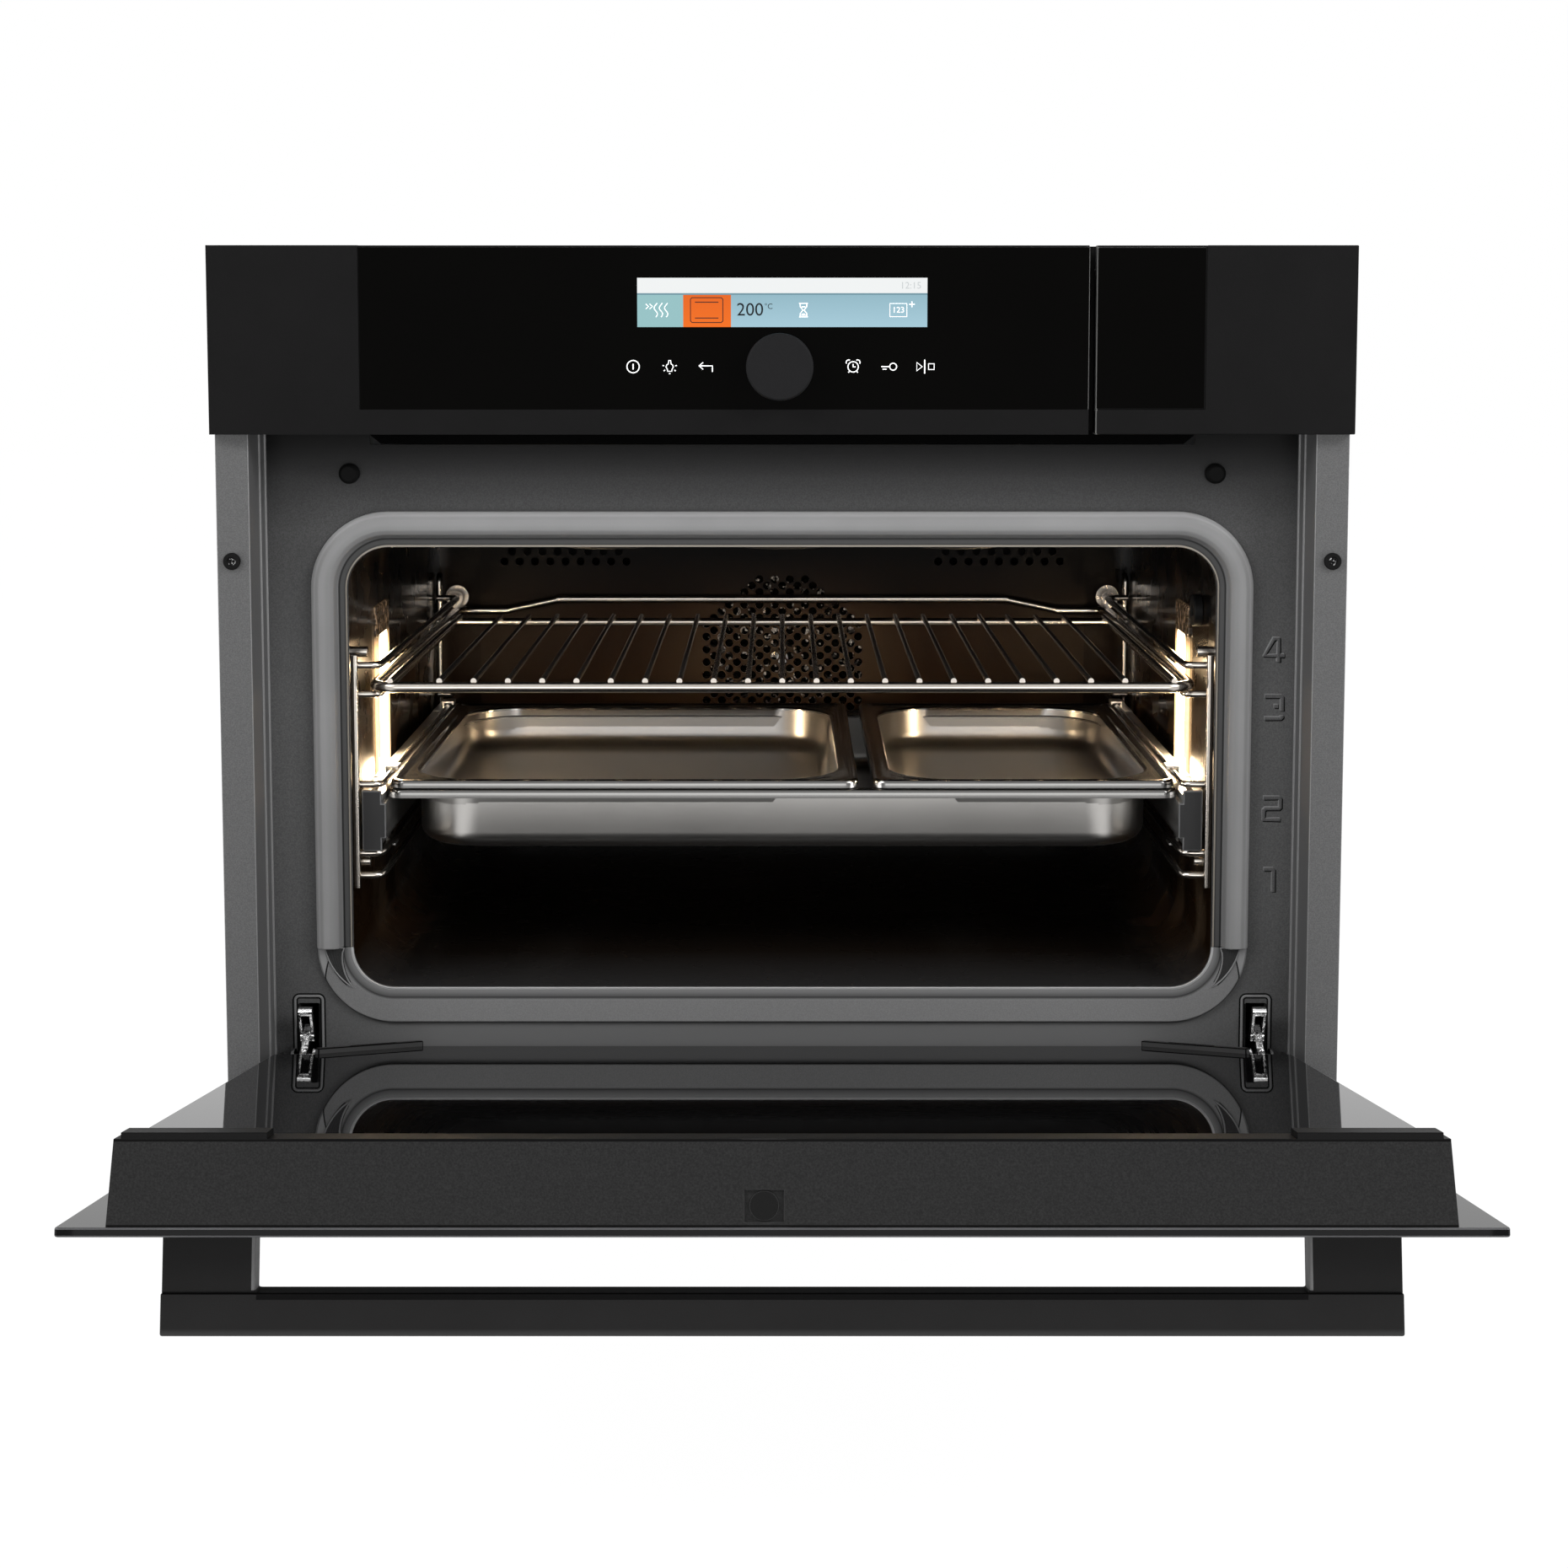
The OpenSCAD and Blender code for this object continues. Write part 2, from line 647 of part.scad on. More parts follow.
module bottom_heater() color("#3d3b38") at_niche() {
    long = cavity_d - 138;
    translate([-150, back_y, cavity_z - liner_t - 3.5]) rotate([90, 0, 0])
        bent_rod([[long + 80], [50, 180, 0], [long], [50, 180, 180], [long], [50, 180, 180],
            [long + 80]], 3.2);
}

module oven_lamps() color("#fff3d6") at_niche() lamp_slot(-clear, cavity_x - 1.5, cavity_x + 20);

module probe_socket() color("#151515") at_niche() translate([cavity_x, probe_y, probe_z])
    rotate([0, 90, 0]) difference() {
        union() {
            translate([0, 0, -5]) cylinder(h = 5, r = 9);
            cylinder(h = 22, r = 7 - clear);
        }
        translate([0, 0, -6]) cylinder(h = 24, r = probe_r);
    }

// Ladders

module ladder_studs() color("silver") at_niche() both() {
    translate([stud_x, 0, stud_z]) rotate([-90, 0, 0]) {
        translate([0, 0, back_y - 13]) cylinder(h = 13, r = 3);
        translate([0, 0, back_y - 13]) cylinder(h = 1.5, r = 5.2);
        translate([0, 0, back_y - 1.5]) cylinder(h = 1.5, r = 8);
    }
    for (z = [levels[0], levels[4]])
        translate([cavity_x, wire_front + 8, z + 7]) rotate([0, -90, 0]) cylinder(h = 9, r = 3);
}

// one level: a long wire whose ends turn out to the uprights
module ladder_wire(z) {
    turn = 6;
    out = ladder_wall + 1 - ladder_x - turn;
    translate([ladder_wall + 1, wire_front + 3.4, z]) rotate([0, -90, 0])
        bent_rod([[out], [turn, 90, 90], [wire_back - wire_front - 6.8 - 2 * turn],
            [turn, 90, 0], [out]], wire_r);
}

module ladder() {
    for (z = levels) ladder_wire(z);
    for (y = [wire_front, wire_back])
        translate([ladder_wall, y, levels[0] - 6]) cylinder(h = levels[4] - levels[0] + 12, r = wire_r);
    translate([ladder_wall, wire_back, levels[4] + 6]) rotate([0, 0, 90])
        bent_rod([[4], [5, 90, 0]], wire_r);
    translate([ladder_wall - eps, wire_back, stud_z - 6]) rotate([-90, 0, 0])
        cylinder(h = back_y - wire_back - 3, r = wire_r);
    translate([stud_x + 4, back_y - 6, stud_z - 6]) rotate([0, 90, 0])
        cylinder(h = ladder_wall - stud_x - 4, r = wire_r);
}

module ladder_left() color("silver") at_niche() mirror([1, 0, 0]) ladder();

module ladder_right() color("silver") at_niche() ladder();

// Runners: outlines across a rail, u inwards from its outer face and w up from its bottom

module rail_fixed() difference() {
    translate([0, 0.5]) square([5, runner_h - 1]);
    translate([1.2, 1.7]) square([2.6, runner_h - 3.4]);
    translate([1.2, 6]) square([5, runner_h - 12]);
}

module rail_middle() {
    translate([1.7, 3]) square([1.6, runner_h - 6]);
    translate([3.3, 13]) square([4.1, runner_h - 26]);
    translate([7.4, 6]) square([1.5, runner_h - 12]);
}

module rail_slide() {
    difference() {
        translate([5.6, 3.4]) square([5.3, runner_h - 6.8]);
        translate([6.8, 4.6]) square([2.8, runner_h - 9.2]);
        translate([5, 9]) square([4.6, runner_h - 18]);
    }
    translate([10.9, 8]) difference() {
        square([2.4, ledge_z - runner_z - 8]);
        translate([-1, 1]) square([2.4, ledge_z - runner_z - 10]);
    }
}

module rail_cap() {
    translate([0.6, 0]) square([10.6, runner_h - 0.2]);
    translate([11.2, 7]) square([2.4, ledge_z - runner_z - 7]);
}

// an outline across the right-hand rail, made from y0 to y1
module along_rail(y0, y1) translate([rail_out, y1, runner_z]) rotate([90, 0, 0])
    linear_extrude(y1 - y0) mirror([1, 0]) children();

// sheet clips that reach from the rail round the ladder's wires above and below it
module clip_outline() {
    top = levels[2] + wire_r + clear;
    low = levels[1] - wire_r - 0.4;
    translate([clip_x, runner_z + runner_h - 1.3]) square([rail_out - clip_x, clip_t]);
    translate([clip_x, runner_z + runner_h - 1.3]) square([clip_t, top - runner_z - runner_h + 1.3]);
    translate([ladder_x - 3.6, top]) square([clip_x - ladder_x + 3.6 + clip_t, clip_t]);
    translate([ladder_x - 3.6, top - 1]) square([clip_t, 1 + clip_t]);
    translate([clip_x, runner_z - 0.4]) square([rail_out - clip_x, clip_t]);
    translate([clip_x, low - clip_t]) square([clip_t, runner_z - low + clip_t]);
    translate([ladder_x - 1.6, low - clip_t]) square([clip_x - ladder_x + 1.6 + clip_t, clip_t]);
}

module runner_rails() color("#b9bbbd") at_niche() both() {
    along_rail(rail_front, rail_back) rail_fixed();
    for (y = [rail_front + 40, rail_back - 52]) plate(y, 12) clip_outline();
}

module runner_middle() along_rail(rail_front + 1, rail_back - 1) rail_middle();

module runner_middle_left() color("#a5a7a9") at_niche() mirror([1, 0, 0]) runner_middle();

module runner_middle_right() color("#a5a7a9") at_niche() runner_middle();

module runner_slides() color("#c6c8ca") at_niche() both() along_rail(rail_front, rail_back) rail_slide();

module runner_caps() color("#76787b") at_niche() both()
    along_rail(rail_front - 3, rail_front - clear) rail_cap();

// Wire rack

module rack_side() {
    turn = 14;
    rod_x(0, rack_x - turn, rack_front, rack_z, rack_r);
    translate([rack_x - turn, rack_front, rack_z]) rotate([0, 90, 0])
        bent_rod([[turn, 90, 90], [rack_back - rack_front - 2 * turn], [turn, 90, 0],
            [rack_x - turn - stop_x - stop_ramp]], rack_r);
    translate([stop_x + stop_ramp + 3, rack_back, rack_z])
        rotate([0, -atan2(stop_ramp + 6, stop_rise), 0])
            cylinder(h = norm([stop_ramp + 6, stop_rise]), r = rack_r - 0.15);
    rod_x(0, stop_x, rack_back, rack_z + stop_rise, rack_r);
    rod_x(0, rack_x - rack_r + 1, cross_back, rack_z, rack_r - 0.4);
    translate([rack_x - 10, 0, 0]) rod_y(0, rack_front - 1, cross_back + 2, cross_z, cross_r);
}

module wire_rack() color("silver") at_niche() {
    both() rack_side();
    for (i = [-10:10]) rod_y(i * cross_pitch, rack_front - 1, cross_back + 2, cross_z, cross_r);
}

// Trays: a puck is a disc with a round lower edge
module puck(r, f, h) rotate_extrude($fn = 32) {
    square([r - f, h]);
    translate([0, f]) square([r, h - f]);
    translate([r - f, f]) circle(f, $fn = 24);
}

// solid bowl from its lower corner: sides lean in by draft, bottom corners round
module bowl(w, d, h, r, f, draft) hull() {
    for (x = [draft + r, w - draft - r], y = [draft + r, d - draft - r])
        translate([x, y, -h]) puck(r, f, f + 1);
    for (x = [r, w - r], y = [r, d - r]) translate([x, y, -0.5]) cylinder(h = 0.5, r = r, $fn = 32);
}

module gn_pan(w, d, lip, h, r) difference() {
    union() {
        translate([w / 2, d / 2, 0]) linear_extrude(pan_rim_h) round_rect(w, d, 8);
        translate([lip, lip, pan_rim_h]) bowl(w - 2 * lip, d - 2 * lip, h + pan_rim_h, r, 12, 5);
    }
    translate([w / 2, d / 2, -1]) linear_extrude(pan_rim_h) difference() {
        round_rect(w - 2 * pan_t, d - 2 * pan_t, 8 - pan_t);
        round_rect(w - 2 * lip, d - 2 * lip, r);
    }
    translate([lip + pan_t, lip + pan_t, pan_rim_h + 0.5])
        bowl(w - 2 * lip - 2 * pan_t, d - 2 * lip - 2 * pan_t, h + pan_rim_h - pan_t + 0.5, r - pan_t,
            11, 5);
}

module pan_large() color("#c9cbcd") at_niche() translate([-pans_x, tray_y + 1, pan_z])
    gn_pan(pan_split, tray_d - 2, pan_lip, pan_bowl, 44);

module pan_small() color("#c9cbcd") at_niche()
    translate([-pans_x + pan_split + pan_gap, tray_y + 1, pan_z])
        gn_pan(2 * pans_x - pan_split - pan_gap, tray_d - 2, pan_lip, pan_bowl, 44);

module steam_tray() color("#bfc1c3") at_niche() translate([-tray_x, tray_y, tray_z]) difference() {
    union() {
        translate([tray_x, tray_d / 2, 0]) linear_extrude(rim_h) round_rect(2 * tray_x, tray_d, 10);
        translate([tray_lip, tray_lip, rim_h])
            bowl(2 * (tray_x - tray_lip), tray_d - 2 * tray_lip, tray_bowl + rim_h, 40, 14, 4);
    }
    translate([tray_x, tray_d / 2, -1]) linear_extrude(rim_h) difference() {
        round_rect(2 * tray_x - 2 * pan_t, tray_d - 2 * pan_t, 10 - pan_t);
        round_rect(2 * (tray_x - tray_lip), tray_d - 2 * tray_lip, 40);
    }
    translate([tray_lip + pan_t, tray_lip + pan_t, rim_h + 0.5])
        bowl(2 * (tray_x - tray_lip - pan_t), tray_d - 2 * (tray_lip + pan_t),
            tray_bowl + rim_h - pan_t + 0.5, 40 - pan_t, 13, 4);
}

// Behind the cavity

module insulation() color("#c8b560") at_niche() difference() {
    block([-cavity_x - wool, liner_y + 2, cavity_z - wool - 4], [cavity_x + wool, wool_y, wool_top]);
    block([-cavity_x - 3, 0, cavity_z - 12], [cavity_x + 3, back_y + liner_t + 1, cavity_top + 3]);
    chamber(2, back_y, chamber_y + liner_t);
    lamp_slot(2, cavity_x, cavity_x + 22);
    block([cavity_x, probe_y - 12, probe_z - 12], [cavity_x + 40, probe_y + 12, probe_z + 12]);
    translate([0, chamber_y - 1, fan_z]) rotate([-90, 0, 0]) cylinder(h = wool + 5, r = 43);
    both() block([hinge_x - 12, 0, 0], [cavity_x + 60, 180, hinge_z + 40]);
}

module steam_generator() color("#b4b6b8") at_niche() {
    translate([body_x - 80, rear_y - 155, wool_top + clear]) cylinder(h = 70, r = 38);
    translate([body_x - 80, rear_y - 155, wool_top + clear + 70]) cylinder(h = 8, r = 30);
    translate([body_x - 80, rear_y - 155, wool_top + clear + 78]) cylinder(h = 12, r = 6);
    block([body_x - 184, rear_y - 195, wool_top + clear], [body_x - 130, rear_y - 135, wool_top + 38]);
}

module base_pan() color("#8f9295") at_niche()
    block([-body_x + sheet, plate_y, 0], [body_x - sheet, rear_y - sheet, sheet]);

module side_panels() color("#9b9ea1") at_niche() both()
    block([body_x - sheet, liner_y, 0], [body_x, rear_y, body_h - sheet]);

module top_cover() color("#9b9ea1") at_niche()
    block([-body_x, carrier_y, body_h - sheet], [body_x, rear_y, body_h]);

module rear_cover() color("#9b9ea1") at_niche() difference() {
    plate(rear_y - sheet, sheet) difference() {
        translate([-body_x + sheet, 0]) square([body_w - 2 * sheet, body_h - sheet]);
        for (s = [-1, 1], i = [0:7]) translate([s * 150, body_h - 115 + i * 12]) round_rect(90, 5, 2.4);
        for (i = [0:5]) translate([0, 40 + i * 12]) round_rect(200, 5, 2.4);
    }
    rod_y(48 - body_x, rear_y - 10, rear_y + 10, 60, 8);
}

// Hinges

// boxes behind the front plate, each with the pin that the arm's notch hooks over
module hinge_receivers() color("#7d8083") at_niche() both() translate([hinge_x, 0, 0]) {
    difference() {
        block([-case_w / 2, liner_y, hinge_z - 6], [case_w / 2, 118, hinge_z + 32]);
        block([-case_w / 2 + cheek_t, liner_y - 1, hinge_z - 4.5],
            [case_w / 2 - cheek_t, 116, hinge_z + 30.5]);
    }
    rod_x(-case_w / 2 + 0.5, case_w / 2 - 0.5, notch_y, hinge_z + 4.5, 2.2);
}

module hinge_arms() color("silver") at_niche() both() {
    wall(hinge_x - 2, 4) difference() {
        union() {
            translate([hinge_y, hinge_z]) circle(7);
            polygon([[hinge_y, hinge_z - 7], [plate_y + 2, hinge_z - 2], [115, hinge_z + 2],
                [115, hinge_z + 20], [plate_y + 4, hinge_z + 20], [hinge_y + 8, hinge_z + 15],
                [hinge_y, hinge_z + 7]]);
        }
        translate([hinge_y + 12, hinge_z + 11]) circle(2 + run);
        translate([notch_y - 2.5, hinge_z - 3]) square([5, 10]);
    }
    rod_x(hinge_x - case_w / 2, hinge_x + case_w / 2, hinge_y, hinge_z, pin_r);
}

module hinge_latches() color("silver") at_niche() both() translate([hinge_x, hinge_y + 12, hinge_z + 11]) {
    rod_x(-3.7, 3.7, 0, 0, 2);
    for (x = [-3.7, 2.4]) wall(x, 1.3) {
        circle(3.4);
        rotate([0, 0, 22]) translate([-2.6, 0]) square([5.2, 16]);
    }
    rod_x(-3.7, 3.7, -6, 15, 2.6);
}

// a door's hinge case, open at the rear, drawn for the closed door
module hinge_cases() color("#b9bbbd") at_door() both() translate([hinge_x, 0, 0]) difference() {
    union() {
        for (x = [-case_w / 2, case_w / 2 - cheek_t])
            block([x, pane_t + 4, hinge_z - 7], [x + cheek_t, pane_y - clear, 190]);
        block([-case_w / 2, pane_t + 4, hinge_z - 7], [case_w / 2, pane_t + 4 + cheek_t, 190]);
        for (x = [-case_w / 2, case_w / 2 - cheek_t])
            rod_x(x, x + cheek_t, hinge_y, hinge_z, 7);
    }
    rod_x(-10, 10, hinge_y, hinge_z, pin_r + run);
}

// Door

module door_outer_glass() color("#151719") at_door() plate(0, pane_t)
    translate([0, (door_gap + door_top) / 2]) round_rect(2 * door_x, door_top - door_gap, 2);

// side columns and a lower rail of folded sheet
module door_frame() color("#2c2d2f") at_door() {
    both() {
        block([box_x - 1.5, pane_t, 10], [box_x, pane_y, trim_z]);
        block([column_x, pane_t, 10], [box_x, pane_t + 1.2, trim_z]);
        block([column_x, pane_t, 10], [column_x + 1.2, pane_y, trim_z]);
        block([hinge_x + 7.4, pane_y - 1.2, cut_z], [box_x, pane_y, trim_z]);
    }
    block([-column_x, pane_t, glass_low], [column_x, pane_t + 1.2, glass_low + 12]);
    block([-column_x, pane_t, glass_low], [column_x, pane_y, glass_low + 1.2]);
}

module door_middle_glass() color("#9aa7ad") at_door() {
    plate(pane_t + 14, 3) translate([clear - column_x, glass_low + 16])
        square([2 * (column_x - clear), trim_z - glass_low - 24]);
}

module door_inner_glass() color("#111315") at_door() plate(pane_y, pane_t)
    polygon([[-inner_x, cut_z], [-inner_x, trim_z], [inner_x, trim_z], [inner_x, cut_z],
        [column_x, cut_z], [cut_x, glass_low], [-cut_x, glass_low], [-column_x, cut_z]]);

// slotted bars on the slanting lower edges of the inner glass
module door_glass_strips() color("#0d0d0d") at_door() both() plate(pane_y + 0.5, 6.2)
    translate([cut_x, glass_low]) rotate([0, 0, atan2(cut_z - glass_low, column_x - cut_x)])
        translate([0, -4.6]) difference() {
            square([62, 4.4]);
            translate([16, 1.6]) square([26, 1.2]);
        }

// the moulding's ends lean in from the outer glass; a recess near the middle holds a round plug
module door_top_trim() color("#191919") at_door() {
    difference() {
        union() {
            translate([0, 0, trim_z]) linear_extrude(door_top - 1 - trim_z)
                polygon([[-box_x - 2.5, pane_t], [box_x + 2.5, pane_t], [box_x, door_d + 0.8],
                    [-box_x, door_d + 0.8]]);
            both() block([trim_cap_x, door_d, trim_z + 2], [box_x - 3, door_d + 3.4, door_top - 1]);
        }
        block([plug_x - 8.1, pane_t + 2, door_top - 2.6], [plug_x + 8.1, pane_t + 15, door_top]);
        block([-box_x + 2, pane_t + 1.5, trim_z - 1], [box_x - 2, pane_y, trim_z + 8]);
    }
    translate([plug_x, pane_t + 8.5, door_top - 3]) cylinder(h = 1.4, r = 6);
}

module door_handle() color("#141414") at_door() {
    block([-handle_x, -post_t - bar_t, bar_z - bar_h / 2], [handle_x, -post_t, bar_z + bar_h / 2]);
    both() block([handle_x - post_w, -post_t, bar_z - 5], [handle_x, 0, bar_z + 5]);
}

control_panel();
panel_glass();
display_module();
control_board();
knob_encoder();
knob_stem();
control_knob();
tank_front();
tank_front_glass();
water_tank();
tank_guide();
vent_lip();
air_duct();
front_frame();
side_trims();
niche_bushes();
door_bumpers();
door_gasket();
mouth_sill();
cavity_liner();
fan_baffle();
convection_fan();
fan_shaft();
fan_motor();
ring_heater();
grill_element();
bottom_heater();
oven_lamps();
probe_socket();
ladder_studs();
ladder_left();
ladder_right();
runner_rails();
runner_middle_left();
runner_middle_right();
runner_slides();
runner_caps();
wire_rack();
steam_tray();
pan_large();
pan_small();
insulation();
steam_generator();
cooling_wheel();
cooling_housing();
base_pan();
side_panels();
top_cover();
rear_cover();
hinge_receivers();
hinge_arms();
hinge_latches();
hinge_cases();
door_outer_glass();
door_frame();
door_middle_glass();
door_inner_glass();
door_glass_strips();
door_top_trim();
door_handle();
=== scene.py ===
"""Built-in compact steam oven with its door open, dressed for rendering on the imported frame."""
import json
import math

import bmesh
import bpy
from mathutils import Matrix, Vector

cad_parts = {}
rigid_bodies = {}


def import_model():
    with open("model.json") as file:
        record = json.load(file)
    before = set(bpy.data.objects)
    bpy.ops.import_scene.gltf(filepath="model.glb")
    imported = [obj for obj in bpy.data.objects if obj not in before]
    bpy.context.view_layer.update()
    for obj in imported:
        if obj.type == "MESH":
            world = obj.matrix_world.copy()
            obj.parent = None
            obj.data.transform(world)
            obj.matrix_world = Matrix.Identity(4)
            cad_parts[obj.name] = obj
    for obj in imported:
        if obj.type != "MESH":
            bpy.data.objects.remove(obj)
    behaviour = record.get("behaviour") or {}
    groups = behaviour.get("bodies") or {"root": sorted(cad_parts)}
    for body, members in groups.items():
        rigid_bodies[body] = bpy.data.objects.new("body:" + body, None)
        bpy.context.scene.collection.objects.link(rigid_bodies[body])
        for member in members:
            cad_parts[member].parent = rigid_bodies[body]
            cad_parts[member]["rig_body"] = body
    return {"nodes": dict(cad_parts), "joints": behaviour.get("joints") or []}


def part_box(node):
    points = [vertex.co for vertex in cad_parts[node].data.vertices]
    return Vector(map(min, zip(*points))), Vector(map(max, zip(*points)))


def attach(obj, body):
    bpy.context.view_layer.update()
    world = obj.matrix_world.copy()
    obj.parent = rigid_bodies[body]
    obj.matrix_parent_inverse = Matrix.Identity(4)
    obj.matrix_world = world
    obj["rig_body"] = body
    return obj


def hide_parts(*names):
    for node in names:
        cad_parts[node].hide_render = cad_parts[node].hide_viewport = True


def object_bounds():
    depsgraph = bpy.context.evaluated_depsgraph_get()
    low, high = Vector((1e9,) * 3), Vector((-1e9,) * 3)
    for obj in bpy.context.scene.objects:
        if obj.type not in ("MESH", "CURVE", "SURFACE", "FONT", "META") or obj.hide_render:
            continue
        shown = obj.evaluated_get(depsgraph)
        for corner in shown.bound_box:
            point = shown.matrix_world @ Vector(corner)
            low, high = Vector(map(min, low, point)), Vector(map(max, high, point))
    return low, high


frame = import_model()
cad_box = [list(corner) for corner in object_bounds()]
nodes = frame["nodes"]

# Camera
# The view from straight in front, level with the panel, tilted and shifted down over the door.
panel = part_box("control_panel")
stand_off, below_top = 1.2951, 0.039
eye = Vector((0.0, panel[0].y - stand_off, panel[1].z - below_top))
camera_data = bpy.data.cameras.new("camera")
camera = bpy.data.objects.new("camera", camera_data)
bpy.context.scene.collection.objects.link(camera)
camera_data.sensor_width = 36.0
camera_data.lens = 57.1
look_down = math.radians(5.14)
camera_data.shift_x = 0.0011
camera_data.shift_y = -0.1527
camera_data.clip_start = 0.05
camera.location = eye
camera.rotation_euler = (math.radians(90) - look_down, 0, 0)
bpy.context.scene.camera = camera

# Studio
# A white floor under the oven, even white surroundings, and soft boxes over its front and back.
scene = bpy.context.scene
scene.view_settings.view_transform = "Standard"


def plain_tree(owner):
    """Empties a node tree and hands it over."""
    owner.use_nodes = True
    owner.node_tree.nodes.clear()
    return owner.node_tree


def seen_white(tree):
    """1 for rays that look at the surroundings directly, in a reflection or through glass."""
    rays = tree.nodes.new("ShaderNodeLightPath")
    total = rays.outputs["Is Camera Ray"]
    for kind in ("Is Glossy Ray", "Is Transmission Ray"):
        adding = tree.nodes.new("ShaderNodeMath")
        adding.operation = "ADD"
        adding.use_clamp = True
        tree.links.new(total, adding.inputs[0])
        tree.links.new(rays.outputs[kind], adding.inputs[1])
        total = adding.outputs[0]
    return total


def choose(tree, share, first, second, end):
    """Ends a tree in the first surface, or the second where share is 1."""
    choice = tree.nodes.new("ShaderNodeMixShader")
    tree.links.new(share, choice.inputs[0])
    tree.links.new(first.outputs[0], choice.inputs[1])
    tree.links.new(second.outputs[0], choice.inputs[2])
    tree.links.new(choice.outputs[0], tree.nodes.new(end).inputs[0])


world = bpy.data.worlds.new("studio")
scene.world = world
tree = plain_tree(world)
lit = tree.nodes.new("ShaderNodeBackground")
lit.inputs["Color"].default_value = (1, 1, 1, 1)
lit.inputs["Strength"].default_value = 0.26
white = tree.nodes.new("ShaderNodeBackground")
white.inputs["Color"].default_value = (1, 1, 1, 1)
white.inputs["Strength"].default_value = 1.0
choose(tree, seen_white(tree), lit, white, "ShaderNodeOutputWorld")

floor_gap = 0.12
floor_z = cad_box[0][2] - floor_gap
bpy.ops.object.select_all(action="DESELECT")
bpy.ops.mesh.primitive_plane_add(size=14, location=(0, 2, floor_z))
floor = bpy.context.object
floor.name = "floor"
floor_finish = bpy.data.materials.new("floor_white")
tree = plain_tree(floor_finish)
matt = tree.nodes.new("ShaderNodeBsdfDiffuse")
matt.inputs["Color"].default_value = (0.85, 0.85, 0.85, 1)
glow = tree.nodes.new("ShaderNodeEmission")
glow.inputs["Strength"].default_value = 1.06
share = tree.nodes.new("ShaderNodeMath")
share.operation = "MULTIPLY"
share.inputs[1].default_value = 0.93
tree.links.new(seen_white(tree), share.inputs[0])
choose(tree, share.outputs[0], matt, glow, "ShaderNodeOutputMaterial")
floor.data.materials.append(floor_finish)


def soft_box(name, place, aim, size, watts):
    """A soft white lamp at a place, turned towards its aim."""
    data = bpy.data.lights.new(name, "AREA")
    data.shape = "RECTANGLE"
    data.size, data.size_y = size
    data.energy = watts
    lamp = bpy.data.objects.new(name, data)
    lamp.location = place
    lamp.rotation_euler = (Vector(aim) - Vector(place)).to_track_quat("-Z", "Y").to_euler()
    bpy.context.scene.collection.objects.link(lamp)


soft_box("key_box", (-1.6, -1.3, 1.35), (0, 0, -0.05), (1.2, 0.9), 28)
soft_box("fill_box", (1.6, -1.3, 1.25), (0, 0, -0.05), (1.2, 0.9), 31)
soft_box("low_box", (0, -2.6, 0.1), (0, 0, -0.1), (2.2, 0.8), 15)
soft_box("left_strip", (-1.5, -0.5, -0.1), (-0.2, 0, -0.1), (0.3, 0.7), 6)
soft_box("right_strip", (1.5, -0.5, -0.1), (0.2, 0, -0.1), (0.3, 0.7), 6)
soft_box("rear_box", (0.3, 1.9, 1.4), (0, 0.3, 0), (1.4, 0.8), 16)

# Control panel
# A deep black-coated steel fascia with two matt ears beside the glass, and a slot for it between.


class Wire:
    """A socket of the finish being made; its operators add Math nodes."""

    tree = None

    def __init__(self, socket):
        self.socket = socket

    @staticmethod
    def node(kind, settings=None, inputs=None, out=0):
        made = Wire.tree.nodes.new(kind)
        for name, value in (settings or {}).items():
            setattr(made, name, value)
        for name, value in (inputs or {}).items():
            if isinstance(value, Wire):
                Wire.tree.links.new(value.socket, made.inputs[name])
            else:
                made.inputs[name].default_value = value
        return Wire(made.outputs[out])

    def math(self, operation, *others):
        values = dict(enumerate((self, *others)))
        return Wire.node("ShaderNodeMath", {"operation": operation}, values)

    def __add__(self, other):
        return self.math("ADD", other)

    __radd__ = __add__

    def __sub__(self, other):
        return self.math("SUBTRACT", other)

    def __rsub__(self, other):
        return Wire.node("ShaderNodeMath", {"operation": "SUBTRACT"}, {0: other, 1: self})

    def __mul__(self, other):
        return self.math("MULTIPLY", other)

    __rmul__ = __mul__

    def __abs__(self):
        return self.math("ABSOLUTE")

    def __gt__(self, other):
        return self.math("GREATER_THAN", other)

    def __lt__(self, other):
        return self.math("LESS_THAN", other)

    def between(self, low, high):
        """0 below low, 1 above high."""
        return Wire.node(
            "ShaderNodeMapRange", {"clamp": True}, {0: self, 1: low, 2: high, 3: 0.0, 4: 1.0}
        )


def noise(scale, detail=2.0, stretch=(1, 1, 1)):
    """Cloudy noise over the piece, in features per metre."""
    where = Wire.node("ShaderNodeTexCoord", out="Object")
    if stretch != (1, 1, 1):
        where = Wire.node("ShaderNodeMapping", inputs={"Vector": where, "Scale": stretch})
    return Wire.node(
        "ShaderNodeTexNoise",
        inputs={"Vector": where, "Scale": scale, "Detail": detail, "Roughness": 0.5},
    )


def place(axis):
    """The object's X, Y or Z in metres."""
    where = Wire.node("ShaderNodeTexCoord", out="Object")
    return Wire.node("ShaderNodeSeparateXYZ", inputs={0: where}, out=axis)


def blend(share, first, second):
    """A colour between two colours."""

    def colour(value):
        return value if isinstance(value, Wire) or len(value) == 4 else (*value, 1)

    return Wire.node(
        "ShaderNodeMix", {"data_type": "RGBA"}, {0: share, 6: colour(first), 7: colour(second)}, 2
    )


def start(name):
    """Opens a new finish, whose nodes the next calls add."""
    made = bpy.data.materials.new(name)
    Wire.tree = plain_tree(made)
    return made


